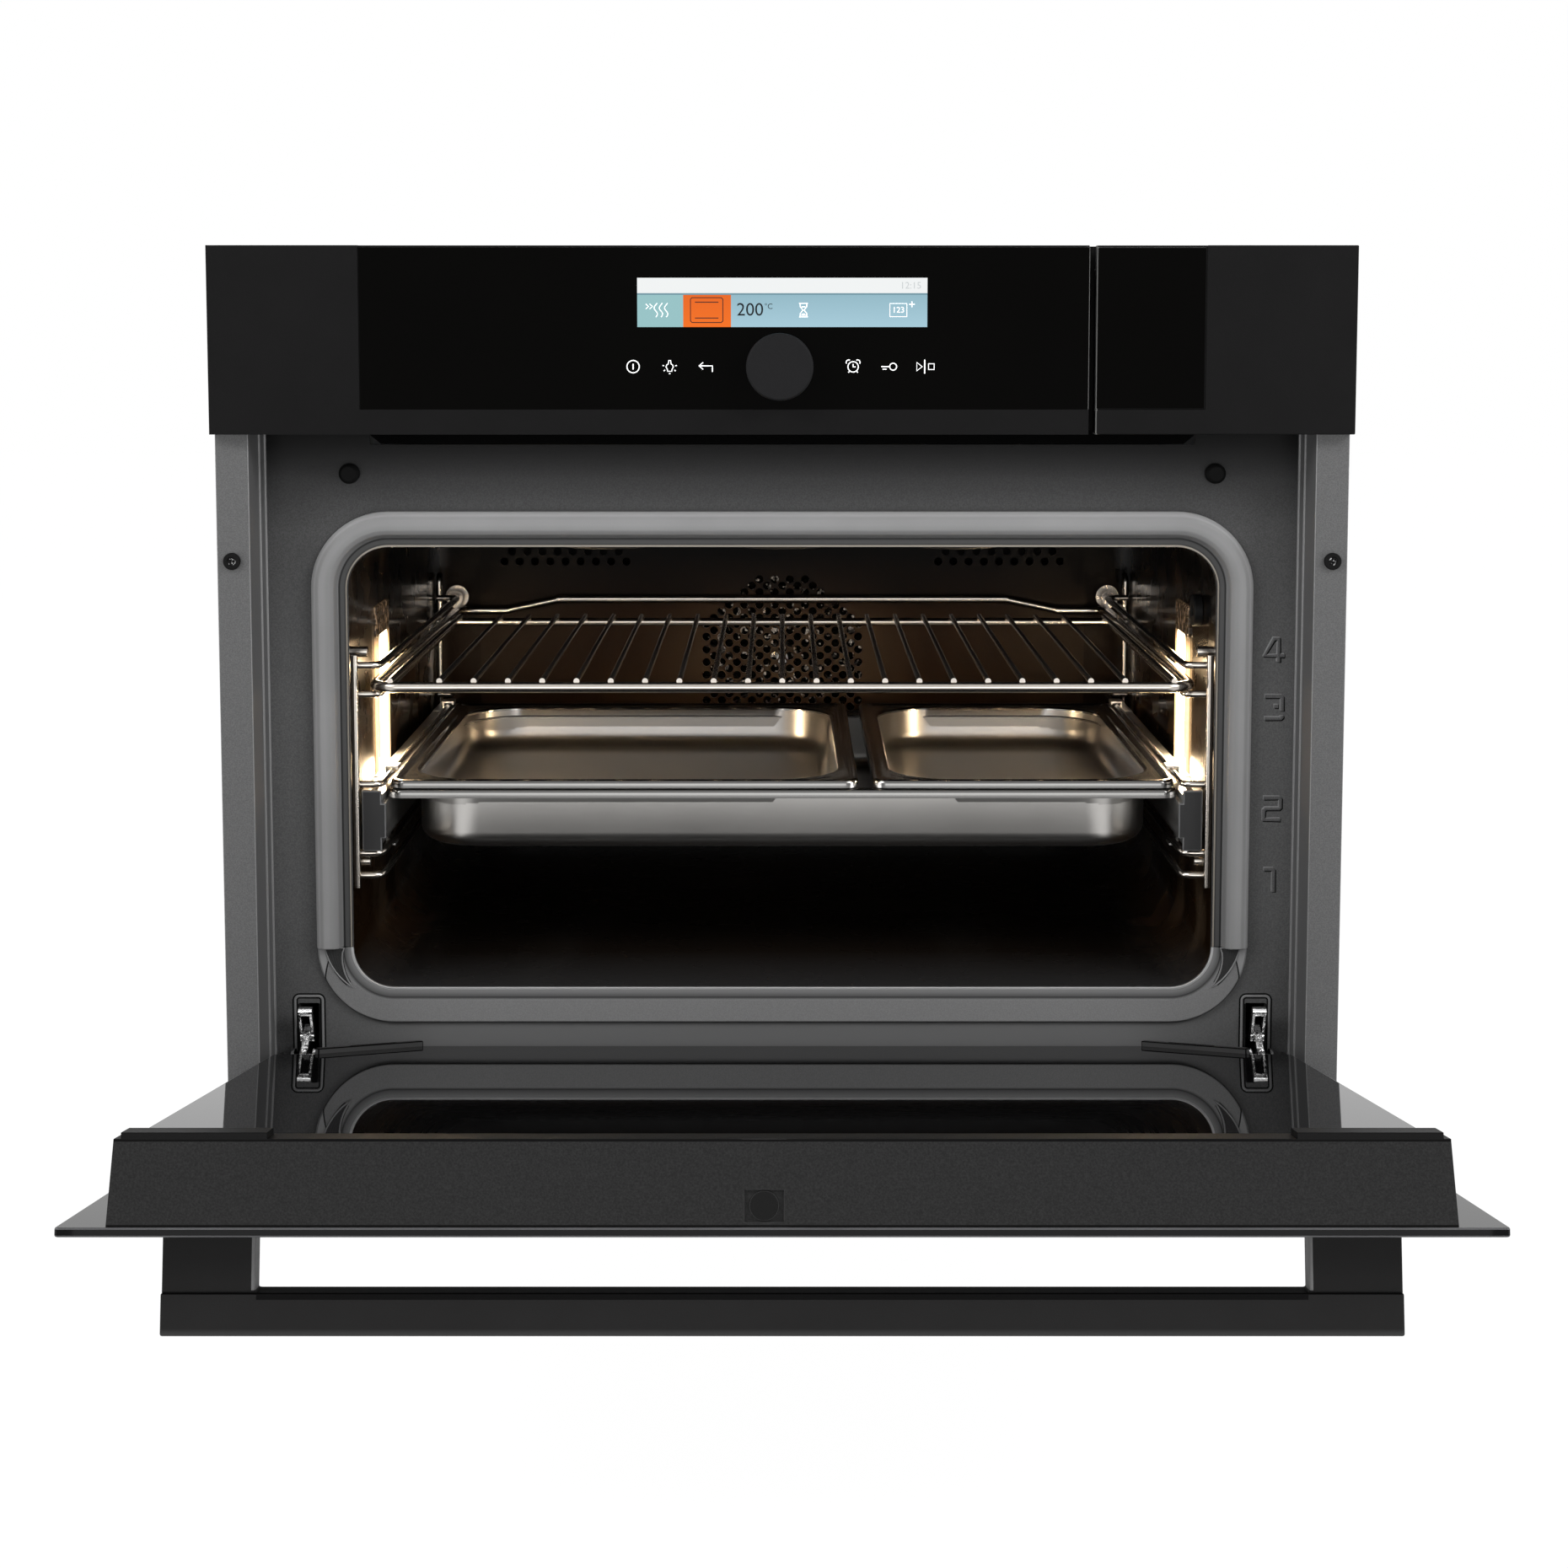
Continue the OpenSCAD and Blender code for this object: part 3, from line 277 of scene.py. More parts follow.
def coat(base, rough, height=None, depth=0.0002, **fixed):
    """The principled surface of the open finish; height is a bump, depth metres deep."""
    inputs = {"Base Color": base if isinstance(base, Wire) else (*base, 1), "Roughness": rough}
    for name, value in fixed.items():
        inputs[name.replace("_", " ")] = value
    if height is not None:
        inputs["Normal"] = Wire.node(
            "ShaderNodeBump", inputs={"Height": height, "Distance": depth, "Strength": 1.0}
        )
    surface = Wire.node("ShaderNodeBsdfPrincipled", inputs=inputs)
    end = Wire.tree.nodes.new("ShaderNodeOutputMaterial")
    Wire.tree.links.new(surface.socket, end.inputs[0])


def wear(piece, finish):
    """Gives a piece one finish all over."""
    piece.data.materials.clear()
    piece.data.materials.append(finish)


def only(piece):
    """Selects one object and nothing else."""
    if bpy.context.object and bpy.context.object.mode != "OBJECT":
        bpy.ops.object.mode_set(mode="OBJECT")
    bpy.ops.object.select_all(action="DESELECT")
    piece.select_set(True)
    bpy.context.view_layer.objects.active = piece


def apply_all(piece):
    """Applies a piece's modifiers in turn."""
    only(piece)
    for modifier in list(piece.modifiers):
        bpy.ops.object.modifier_apply(modifier=modifier.name)


def worked(node, name, finish, edge=0.0, segments=2, angle=30, rim=None):
    """A smooth copy of a frame node: corners merged, sharp edges rounded over in the rim finish."""
    source = nodes[node]
    piece = bpy.data.objects.new(name, source.data.copy())
    bpy.context.scene.collection.objects.link(piece)
    only(piece)
    bpy.ops.object.mode_set(mode="EDIT")
    bpy.ops.mesh.select_all(action="SELECT")
    bpy.ops.mesh.remove_doubles(threshold=1e-6)
    bpy.ops.mesh.customdata_custom_splitnormals_clear()
    bpy.ops.mesh.dissolve_limited(angle_limit=math.radians(0.6))
    bpy.ops.object.mode_set(mode="OBJECT")
    wear(piece, finish)
    if edge:
        rounding = piece.modifiers.new("round", "BEVEL")
        if rim:
            piece.data.materials.append(rim)
            rounding.material = 1
        rounding.width = edge
        rounding.segments = segments
        rounding.limit_method = "ANGLE"
        rounding.angle_limit = math.radians(angle)
        rounding.harden_normals = True
        rounding.use_clamp_overlap = True
        only(piece)
        bpy.ops.object.shade_smooth()
        apply_all(piece)
    else:
        only(piece)
        bpy.ops.object.shade_smooth_by_angle(angle=math.radians(angle))
    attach(piece, source["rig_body"])
    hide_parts(node)
    return piece


black_coat = start("black_powder_coat")
grain = noise(2600, 3)
coat(blend(noise(30), (0.0052, 0.0051, 0.0052), (0.0072, 0.007, 0.0072)), 0.55 + grain * 0.1,
     grain, 0.00006, Specular_IOR_Level=0.05)
gap = (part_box("control_panel")[1].x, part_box("tank_front")[0].x)
gap_middle = (gap[0] + gap[1]) / 2
gap_edge = start("gap_edge_coat")
at_gap = abs(place(0) - gap_middle) < (gap[1] - gap[0]) / 2 + 0.001
coat(blend(at_gap, (0.006, 0.006, 0.006), (0.11, 0.11, 0.108)), 0.5 + grain * 0.1, grain, 0.00006,
     Specular_IOR_Level=0.05)
worked("control_panel", "panel_shell", black_coat, 0.0006, 3, rim=gap_edge)

# Panel glass
# A back-printed black glass band set a hair under the ears, with ground edges.
black_glass = start("black_panel_glass")
coat(blend(noise(12), (0.0007, 0.0006, 0.0005), (0.0012, 0.0011, 0.0009)), 0.08 + noise(400) * 0.02,
     Specular_IOR_Level=0.008)
worked("panel_glass", "glass_band", black_glass, 0.0004, 2, rim=gap_edge)

# Display and touch symbols
# A lit colour screen behind the glass: a white head bar, a blue field and one orange block, with
# thin pictograms, and below it six white symbols printed on the glass. They have no travel.
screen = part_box("display_module")
glass_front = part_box("panel_glass")[0].y
bar_low = screen[1].z - 0.0079
block_left, block_right = -0.0514, -0.0266

lit_screen = start("lit_screen")
across, up = place(0), place(2)
field = blend(up.between(screen[0].z, bar_low), (0.37, 0.58, 0.68), (0.28, 0.47, 0.55))
field = blend(across < block_left, field, (0.3, 0.53, 0.55))
block = blend(up.between(screen[0].z, bar_low), (0.9, 0.155, 0.001), (0.8, 0.125, 0.001))
field = blend((across > block_left) * (across < block_right), field, block)
field = blend((up > bar_low - 0.0009), field, (0.16, 0.3, 0.36))
picture = blend(up > bar_low, field, (0.86, 0.88, 0.88))
coat((0.01, 0.01, 0.01), 0.3, Emission_Color=picture, Emission_Strength=1.0,
     Specular_IOR_Level=0.05)


def plate(name, low, high, finish, body):
    """A thin block between two corners."""
    bpy.ops.object.select_all(action="DESELECT")
    bpy.ops.mesh.primitive_cube_add(size=1, location=(Vector(low) + Vector(high)) / 2)
    piece = bpy.context.object
    piece.name = name
    piece.scale = Vector(high) - Vector(low)
    bpy.ops.object.transform_apply(location=True, rotation=True, scale=True)
    wear(piece, finish)
    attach(piece, body)
    return piece


plate("screen_picture", (screen[0].x, glass_front - 0.00008, screen[0].z),
              (screen[1].x, glass_front + 0.0001, screen[1].z), lit_screen, "housing")


def strokes(name, finish, lines, width, face, squash=0.1):
    """Raised lines on a front face, each a run of (x, z) points in millimetres."""
    data = bpy.data.curves.new(name, "CURVE")
    data.dimensions = "3D"
    data.bevel_depth = width / 2
    data.bevel_resolution = 1 if squash < 0.2 else 3
    data.use_fill_caps = True
    for run in lines:
        line = data.splines.new("POLY")
        closed = run[0] == run[-1]
        points = run[:-1] if closed else run
        line.points.add(len(points) - 1)
        for point, (x, z) in zip(line.points, points):
            point.co = (x / 1000, 0, z / 1000, 1)
        line.use_cyclic_u = closed
    piece = bpy.data.objects.new(name, data)
    bpy.context.scene.collection.objects.link(piece)
    only(piece)
    bpy.ops.object.convert(target="MESH")
    piece.scale = (1, squash, 1)
    piece.location = (0, face, 0)
    bpy.ops.object.transform_apply(location=True, rotation=True, scale=True)
    bpy.ops.object.shade_smooth_by_angle(angle=math.radians(50))
    wear(piece, finish)
    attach(piece, "housing")
    return piece


def arc(x, z, radius, first=0, last=360, steps=24):
    """Points round a circle, in degrees from the right, anticlockwise."""
    angles = [math.radians(first + (last - first) * i / steps) for i in range(steps + 1)]
    points = [(x + radius * math.cos(a), z + radius * math.sin(a)) for a in angles]
    if last - first == 360:
        points[-1] = points[0]
    return points


def moved(lines, x, z):
    """The same lines about another point."""
    return [[(x + px, z + pz) for px, pz in run] for run in lines]


printed_white = start("printed_white")
coat((0.5, 0.5, 0.5), 0.5, Emission_Color=(0.95, 0.97, 0.97, 1), Emission_Strength=0.9)
printed_dark = start("printed_dark")
coat((0.01, 0.012, 0.014), 0.6, Specular_IOR_Level=0.1)
printed_grey = start("printed_grey")
coat((0.1, 0.1, 0.1), 0.5, Emission_Color=(0.42, 0.45, 0.46, 1), Emission_Strength=1.0)

symbol_z = (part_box("control_knob")[0].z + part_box("control_knob")[1].z) / 2 * 1000
power = [arc(0, 0, 3.2), [(0, -1.5), (0, 1.5)]]
bulb = [[(-1.1, -2.4), (1.1, -2.4), (1.2, -1.4), (1.9, -0.2), (1.5, 0.9), (0.7, 1.5), (0.5, 3.2),
         (-0.5, 3.2), (-0.7, 1.5), (-1.5, 0.9), (-1.9, -0.2), (-1.2, -1.4), (-1.1, -2.4)],
        [(-3.7, 0.6), (-2.9, 0.4)], [(3.7, 0.6), (2.9, 0.4)], [(-3.1, -2.3), (-2.4, -1.7)],
        [(3.1, -2.3), (2.4, -1.7)], [(-0.4, -3.6), (0.4, -3.6)]]
back_arrow = [[(3.6, -2.7), (3.6, 0.4), (-3.2, 0.4)], [(-1.2, 2.2), (-3.4, 0.4), (-1.2, -1.4)]]
alarm = [arc(0, -0.1, 2.7), [(0, 1.4), (0, -0.1), (1.3, -0.1)], [(-1.8, -2.3), (-2.5, -3.1)],
         [(1.8, -2.3), (2.5, -3.1)], arc(-2.3, 2.2, 1.3, 60, 210, 8),
         arc(2.3, 2.2, 1.3, -30, 120, 8)]
key = [arc(2.2, 0, 1.8), [(0.4, 0), (-4, 0)], [(-1.2, -1.3), (-3.3, -1.3)]]
play = [[(-4.5, -2.2), (-4.5, 2.2), (-1.7, 0), (-4.5, -2.2)], [(-0.4, -3.6), (-0.4, 3.6)],
        [(1.6, -1.5), (4.5, -1.5), (4.5, 1.5), (1.6, 1.5), (1.6, -1.5)]]
touch = []
for lines, x in ((power, -77.5), (bulb, -58.5), (back_arrow, -39.9), (alarm, 36.8), (key, 55.4),
                 (play, 74.4)):
    touch += moved(lines, x, symbol_z)
strokes("touch_symbols", printed_white, touch, 0.00062, glass_front - 0.0001)

mid_z = (screen[0].z + bar_low) / 2 * 1000
mark_y = glass_front - 0.00012
wave = [(0.9 * math.sin(t * 0.9), -3.6 + t * 0.9) for t in range(9)]
heat_waves = [[(-6.4, 3.2), (-4.9, 1.9), (-6.4, 0.6)], [(-4.4, 3.2), (-2.9, 1.9), (-4.4, 0.6)]]
for x in (-1.2, 1.5, 4.2):
    heat_waves.append([(x + px, pz) for px, pz in wave])
glass_timer = [[(-2.3, 3.5), (2.3, 3.5)], [(-2.3, -3.5), (2.3, -3.5)],
               [(-1.7, 3.5), (-1.7, 1.8), (-0.3, 0), (-1.7, -1.8), (-1.7, -3.5)],
               [(1.7, 3.5), (1.7, 1.8), (0.3, 0), (1.7, -1.8), (1.7, -3.5)],
               [(-1.0, 1.7), (1.0, 1.7)], [(-1.2, -2.6), (1.2, -2.6)], [(-0.7, -2.0), (0.7, -2.0)]]
box_mark = [[(-4.4, -3.4), (4.4, -3.4), (4.4, 3.4), (-4.4, 3.4), (-4.4, -3.4)],
            [(5.5, 3.0), (8.5, 3.0)], [(7.0, 1.5), (7.0, 4.5)]]
marks = moved(heat_waves, -64.4, mid_z) + moved(glass_timer, 11.0, mid_z)
marks += moved(box_mark, 60.2, mid_z)
strokes("screen_white_marks", printed_white, marks, 0.0005, mark_y)
corner = [(-8.4, -5.6), (-7.6, -6.4), (7.6, -6.4), (8.4, -5.6), (8.4, 5.6), (7.6, 6.4), (-7.6, 6.4),
          (-8.4, 5.6), (-8.4, -5.6)]
oven_mark = [corner, [(-6.1, 4.1), (6.1, 4.1)], [(-6.1, -4.1), (6.1, -4.1)]]
strokes("screen_dark_marks", printed_dark, moved(oven_mark, -39.2, mid_z), 0.00055,
                mark_y)


def digits(name, text, x, z, height, finish, face):
    """Plain figures standing a hair proud of a front face, as a mesh."""
    only(nodes["control_panel"])
    bpy.ops.object.text_add(location=(0, 0, 0))
    piece = bpy.context.object
    piece.name = name
    piece.data.body = text
    piece.data.size = height / 0.7
    piece.data.extrude = 0.00003
    piece.data.align_x = "CENTER"
    piece.data.align_y = "CENTER"
    piece.data.resolution_u = 4
    bpy.ops.object.convert(target="MESH")
    piece.rotation_euler = (math.radians(90), 0, 0)
    piece.location = (x, face, z)
    bpy.ops.object.transform_apply(location=True, rotation=True, scale=True)
    wear(piece, finish)
    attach(piece, "housing")
    return piece


print_y = glass_front - 0.00013
digits("screen_degrees", "200", -0.0167, mid_z / 1000, 0.0066, printed_dark, print_y)
digits("screen_unit", "°C", -0.0071, mid_z / 1000 + 0.0018, 0.0028, printed_dark, print_y)
digits("screen_boxed", "123", 0.0602, mid_z / 1000, 0.003, printed_white, print_y)
digits("screen_time", "12:15", 0.0666, bar_low + 0.0038, 0.0035, printed_grey, print_y)

# Control knob
# A turned knob in dark satin lacquer on its steel stem; it pushes in against the switch behind.
knob_lacquer = start("knob_lacquer")
spun = noise(700, 3, (1, 0.02, 1))
coat(blend(spun, (0.0095, 0.0095, 0.01), (0.013, 0.013, 0.0138)), 0.45 + spun * 0.12, spun, 0.00003,
     Specular_IOR_Level=0.05)
zinc = start("bright_zinc")
coat(blend(noise(60), (0.42, 0.43, 0.45), (0.6, 0.61, 0.62)), 0.28 + noise(500) * 0.2, noise(900),
     0.00004, Metallic=1.0)
worked("control_knob", "knob_cap", knob_lacquer, 0.0005, 3)
worked("knob_stem", "knob_axle", zinc, 0.0003)
worked("knob_encoder", "knob_switch", zinc, 0.0004)
board_green = start("board_lacquer")
coat(blend(noise(220, 1) > 0.56, (0.012, 0.09, 0.035), (0.03, 0.16, 0.07)), 0.35, noise(300),
     0.0001)
worked("control_board", "panel_board", board_green, 0.0)
wear(nodes["display_module"], black_glass)

# Water tank
# A translucent moulded tank behind its own piece of the fascia; the two pull out together. A
# black strip stands behind the slot beside it.
worked("tank_front", "tank_fascia", black_coat, 0.0006, 3, rim=gap_edge)
worked("tank_front_glass", "tank_glass", black_glass, 0.0005, rim=gap_edge)
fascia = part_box("tank_front")
backing_x = (gap_middle + 0.0019) * 1000
backing_wide = gap[1] - gap[0] + 0.0024
backing_y = fascia[1].y + 0.0012
run = [(backing_x, fascia[0].z * 1000 + 2), (backing_x, fascia[1].z * 1000 - 0.3)]
strokes("gap_backing", black_coat, [run], backing_wide, backing_y, 0.15)
tank_plastic = start("tank_plastic")
coat(blend(noise(25), (0.5, 0.58, 0.62), (0.6, 0.68, 0.72)), 0.18 + noise(300) * 0.08, noise(40),
     0.0002, Transmission_Weight=0.75, IOR=1.49)
worked("water_tank", "tank_tub", tank_plastic, 0.0012, 3)
soft_black = start("moulded_black")
coat(blend(noise(50), (0.008, 0.008, 0.008), (0.013, 0.013, 0.013)), 0.45 + noise(1500) * 0.15,
     noise(1800, 3), 0.00006, Specular_IOR_Level=0.15)
worked("tank_guide", "tank_tunnel", soft_black, 0.0006)

# Air outlet
# A black moulded grille under the panel lets the cooling air out over the door.
outlet_black = start("outlet_black")
coat(blend(noise(50), (0.0006, 0.0006, 0.0006), (0.0013, 0.0013, 0.0013)), 0.6 + noise(1500) * 0.15,
     noise(1800, 3), 0.00006, Specular_IOR_Level=0.02)
worked("vent_lip", "outlet_grille", outlet_black, 0.0004)

# Front frame
# Pressed steel round the mouth in speckled grey enamel, with side flanges that lap the cabinet.
flecks = (0.35, 0.68)
enamel = start("grey_enamel")
fleck = noise(1500, 3)
coat(blend(fleck.between(*flecks), (0.082, 0.082, 0.083), (0.118, 0.118, 0.119)),
     0.34 + fleck * 0.12, fleck, 0.00004, Specular_IOR_Level=0.12)
plate_enamel_painted_light = start("plate_enamel_painted_light")
fleck = noise(1500, 3)
tone = blend(fleck.between(*flecks), (0.066, 0.066, 0.0665), (0.096, 0.096, 0.097))
# Painted shade: darker across the top under the panel, near black just under its overhang.
tone = blend(place(2).between(0.012, 0.062), tone, (0.022, 0.022, 0.0225))
tone = blend(place(2).between(0.041, 0.06), tone, (0.004, 0.004, 0.004))
# Painted light: paler patches beside the mouth at mid height and across the bottom centre.
beside = abs(place(0)).between(0.2, 0.235) * abs(place(2) + 0.14).between(0.14, 0.06)
painted_light_tone = blend(fleck.between(*flecks), (0.1, 0.1, 0.101), (0.14, 0.14, 0.141))
tone = blend(beside * 0.8, tone, painted_light_tone)
below = abs(place(0)).between(0.27, 0.19) * place(2).between(-0.2, -0.25)
tone = blend(below, tone, (0.125, 0.125, 0.126))
coat(tone, 0.36 + fleck * 0.12, fleck, 0.00004, Specular_IOR_Level=0.08)
# Painted highlight: a pale enamel for rounded bends, edges and beads, standing in for the light
# they catch.
enamel_edge_highlight = start("painted_highlight_enamel")
coat(blend(noise(1500, 3), (0.15, 0.15, 0.151), (0.24, 0.24, 0.242)), 0.3, Specular_IOR_Level=0.3)
worked("front_frame", "mouth_plate", plate_enamel_painted_light, 0.0)


def folded(name, outline, low, high, finish, rim, edge, body):
    """Sheet folded to an outline of (x, y) points in millimetres, standing from low to high."""
    bpy.ops.object.select_all(action="DESELECT")
    bpy.ops.mesh.primitive_circle_add(vertices=len(outline), fill_type="NGON", location=(0, 0, 0))
    piece = bpy.context.object
    piece.name = name
    for corner, (x, y) in zip(piece.data.vertices, outline):
        corner.co = (x / 1000, y / 1000, low)
    bpy.ops.object.mode_set(mode="EDIT")
    bpy.ops.mesh.select_all(action="SELECT")
    bpy.ops.mesh.extrude_region_move(TRANSFORM_OT_translate={"value": (0, 0, high - low)})
    bpy.ops.mesh.select_all(action="SELECT")
    bpy.ops.mesh.normals_make_consistent(inside=False)
    bpy.ops.object.mode_set(mode="OBJECT")
    wear(piece, finish)
    piece.data.materials.append(rim)
    rounding = piece.modifiers.new("round", "BEVEL")
    rounding.width = edge
    rounding.segments = 2
    rounding.limit_method = "ANGLE"
    rounding.angle_limit = math.radians(40)
    rounding.material = 1
    rounding.harden_normals = True
    bpy.ops.object.shade_smooth()
    apply_all(piece)
    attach(piece, body)
    return piece


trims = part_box("side_trims")
wall_x, lap_x, trim_sheet, trim_step = 280, 297.5, 1.2, 0.9
trim_outline = [
    (lap_x, -trim_sheet), (wall_x, -trim_sheet), (wall_x, 24), (wall_x - trim_step, 24.2),
    (wall_x - trim_step, 34.2), (wall_x - 2 * trim_step, 34.4), (wall_x - 2 * trim_step, 36.8),
    (wall_x, 36.9), (wall_x, 61), (wall_x + trim_sheet, 61), (wall_x + trim_sheet, 0), (lap_x, 0),
]
# The rounded bends of each flange take the painted highlight enamel.
for side, name in ((-1, "left_flange"), (1, "right_flange")):
    trim = folded(name, [(side * x, y) for x, y in trim_outline], trims[0].z, trims[1].z,
                  enamel, enamel_edge_highlight, 0.00045, "housing")
    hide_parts("side_trims")
bush_rubber = start("black_rubber")
coat(blend(noise(80), (0.004, 0.004, 0.004), (0.008, 0.008, 0.008)), 0.5 + noise(900) * 0.2,
     noise(1200), 0.00006, Specular_IOR_Level=0.05)
worked("niche_bushes", "screw_bushes", bush_rubber, 0.0006, 2)
black_steel = start("blacked_steel")
coat(blend(noise(900) > 0.58, (0.006, 0.006, 0.006), (0.16, 0.16, 0.16)), 0.2, noise(700), 0.0002,
     Metallic=1.0)
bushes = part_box("niche_bushes")
screw_x, screw_y = bushes[1].x - 0.0045, bushes[0].y + 0.0068
screw_z = (bushes[0].z + bushes[1].z) / 2
for side, name in ((-1, "left_screw"), (1, "right_screw")):
    bpy.ops.object.select_all(action="DESELECT")
    bpy.ops.mesh.primitive_cylinder_add(
        vertices=28, radius=0.0021, depth=0.012, rotation=(math.radians(90), 0, 0),
        location=(side * screw_x, screw_y, screw_z))
    screw = bpy.context.object
    screw.name = name
    bpy.ops.object.transform_apply(location=True, rotation=True, scale=True)
    for face in screw.data.polygons:
        face.select = face.normal.y < -0.9
    bpy.ops.object.mode_set(mode="EDIT")
    bpy.ops.mesh.select_mode(type="FACE")
    bpy.ops.mesh.inset(thickness=0.0009)
    bpy.ops.mesh.extrude_region_move(TRANSFORM_OT_translate={"value": (0, 0.0012, 0)})
    bpy.ops.object.mode_set(mode="OBJECT")
    bpy.ops.object.shade_smooth_by_angle(angle=math.radians(40))
    wear(screw, black_steel)
    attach(screw, "housing")
worked("door_bumpers", "door_buffers", bush_rubber, 0.0006, 2)

# Shelf numbers
# The four shelf levels are pressed out of the plate beside the mouth, in open stencil figures.
face_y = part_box("front_frame")[0].y
shade_enamel = start("shaded_enamel_edge")
coat(blend(noise(1500, 3), (0.004, 0.004, 0.004), (0.012, 0.012, 0.012)), 0.5,
     Specular_IOR_Level=0.03)
figures_x, niche_foot = 267.4, -290
four = [[(2.4, -6.4), (2.4, 6.3), (-0.2, 6.3), (-5.3, -2.9), (5.6, -2.9)]]
three = [[(-4.6, 6.2), (4.1, 6.2), (4.8, 5.5), (4.8, -1.8)], [(0.4, 0.7), (2.6, 0.7)],
         [(-4.6, -6), (4.1, -6), (4.8, -5.3), (4.8, -4.4)]]
two = [[(-4.4, 6.2), (4.1, 6.2), (4.8, 5.5), (4.8, 0.9), (4.1, 0.2), (-3.2, 0.2), (-4.2, -0.8),
        (-4.2, -5.9), (4.8, -5.9)]]
one = [[(-3.6, 6.2), (1.1, 6.2), (1.8, 5.5), (1.8, -6.4)]]
for text, runs, height in (("4", four, 237.6), ("3", three, 206.2), ("2", two, 150.2),
                           ("1", one, 110.6)):
    runs = moved(runs, figures_x, niche_foot + height)
    # Under each figure, a pale copy shifted up and left is a painted highlight, and a dark copy
    # shifted down and right is a painted shadow.
    for name, finish, shift in (("light", enamel_edge_highlight, -0.35), ("shade", shade_enamel, 0.4)):
        flank = strokes("level_%s_%s" % (name, text), finish, moved(runs, shift, -shift), 0.0024,
                        face_y, 0.2)
    strokes("level_" + text, plate_enamel_painted_light, runs, 0.0021, face_y, 0.55)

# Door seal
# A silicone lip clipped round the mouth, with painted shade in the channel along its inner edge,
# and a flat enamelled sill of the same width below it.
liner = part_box("cavity_liner")
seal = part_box("door_gasket")
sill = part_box("mouth_sill")
seal_wide = 0.0195
mouth_x = seal[1].x - seal_wide
mouth_top, mouth_low = seal[1].z - seal_wide, sill[0].z + seal_wide
mouth_corner = 0.0225
middle_z, half_tall = (mouth_top + mouth_low) / 2, (mouth_top - mouth_low) / 2


def from_mouth():
    """Distance outwards from the edge of the mouth, in metres."""
    right = abs(place(0)) - (mouth_x - mouth_corner)
    above = abs(place(2) - middle_z) - (half_tall - mouth_corner)
    out_x, out_z = right.math("MAXIMUM", 0.0), above.math("MAXIMUM", 0.0)
    return (out_x * out_x + out_z * out_z).math("SQRT") - mouth_corner


# The lip's bright outer edge, a painted highlight, its flat, then the dark channel, painted shade,
# and the bright bead along the mouth, a warm painted highlight
silicone = start("grey_silicone")
away = from_mouth()
lip = blend(noise(22), (0.22, 0.22, 0.221), (0.28, 0.28, 0.282))
lip = blend(away.between(0.0165, 0.0182), lip, (0.36, 0.36, 0.362))
lip = blend(away.between(0.0053, 0.0125), (0.15, 0.15, 0.151), lip)
lip = blend(away.between(0.0048, 0.0054), (0.004, 0.004, 0.004), lip)
lip = blend(away.between(0.0039, 0.0044), (0.05, 0.05, 0.0505), lip)
lip = blend(away.between(0.0014, 0.0024), (0.022, 0.022, 0.022), lip)
lip = blend((away > 0.0003) * (away < 0.0012), lip, (0.26, 0.235, 0.2))
coat(lip, 0.34 + noise(700) * 0.12, noise(1100), 0.00004, Specular_IOR_Level=0.2)
worked("door_gasket", "seal_lip", silicone, 0.0009, 3, 15)
leaf_enamel = start("leaf_enamel")
coat(blend(noise(1500, 3), (0.022, 0.022, 0.022), (0.04, 0.04, 0.0405)), 0.4,
     Specular_IOR_Level=0.08)
tail_z = (mouth_low + mouth_corner) * 1000
tail_turn, tail_steps, tail_rows = 44, 8, 6
sill_y = sill[0].y
for side, name in ((-1, "left_seal_tail"), (1, "right_seal_tail")):
    turn_x = (mouth_x - mouth_corner) * 1000

    def on_arc(reach, step):
        """A point reach millimetres outside the mouth's lower corner, a few steps round it."""
        bend = math.radians(tail_turn * step / tail_steps)
        far = mouth_corner * 1000 + reach
        return side * (turn_x + far * math.cos(bend)), tail_z - far * math.sin(bend)

    outer = [on_arc(15.4 - 6.2 * step / tail_steps, step) for step in range(tail_steps + 1)]
    inner = [on_arc(4.8 + 4.4 * (step / tail_steps) ** 0.7, step)
             for step in range(tail_steps, -1, -1)]
    fill = [[on_arc(14.2 - 4.6 * step / tail_steps
                    - row * (8.4 - 8.2 * step / tail_steps) / (tail_rows - 1), step)
             for step in range(tail_steps)] for row in range(tail_rows)]
    strokes(name, leaf_enamel, fill, 0.0021, sill_y, 0.3)
    # A pale outline round each tail, a painted highlight.
    strokes(name + "_lip", enamel_edge_highlight, [outer + inner + outer[:1]], 0.0009,
                    sill_y - 0.0003, 0.8)
# The sill carries the same lines on, painted as the highlights and shade of pressed steps: a
# painted highlight along the mouth edge, a painted shadow line at its outer edge, and a pale tail
# where the seal runs out
sill_enamel = start("sill_enamel")
away = from_mouth()
fleck = noise(1500, 3)
strip = blend(fleck.between(*flecks), (0.165, 0.165, 0.166), (0.2, 0.2, 0.201))
strip = blend(away.between(0.0054, 0.0068), (0.02, 0.02, 0.02), strip)
strip = blend(away.between(0.0048, 0.0054), (0.085, 0.085, 0.086), strip)
strip = blend(away.between(0.0018, 0.005), (0.19, 0.19, 0.191), strip)
strip = blend(away < 0.0012, strip, (0.5, 0.5, 0.502))
strip = blend(away.between(0.0186, 0.0192), strip, (0.002, 0.002, 0.002))
drop = mouth_low + mouth_corner - place(2)
tail_start, tail_long = 0.0105, 0.019
tail = (away > drop * 0.5 + tail_start) * (drop < tail_long)
strip = blend(tail, strip, (0.27, 0.27, 0.272))
strip = blend(abs(away - drop * 0.5 - tail_start) < 0.0004, strip,
              blend(drop < tail_long, strip, (0.012, 0.012, 0.012)))
coat(strip, 0.3 + fleck * 0.1, fleck, 0.00003, Specular_IOR_Level=0.12)
worked("mouth_sill", "sill_strip", sill_enamel, 0.0004, 2, 15)

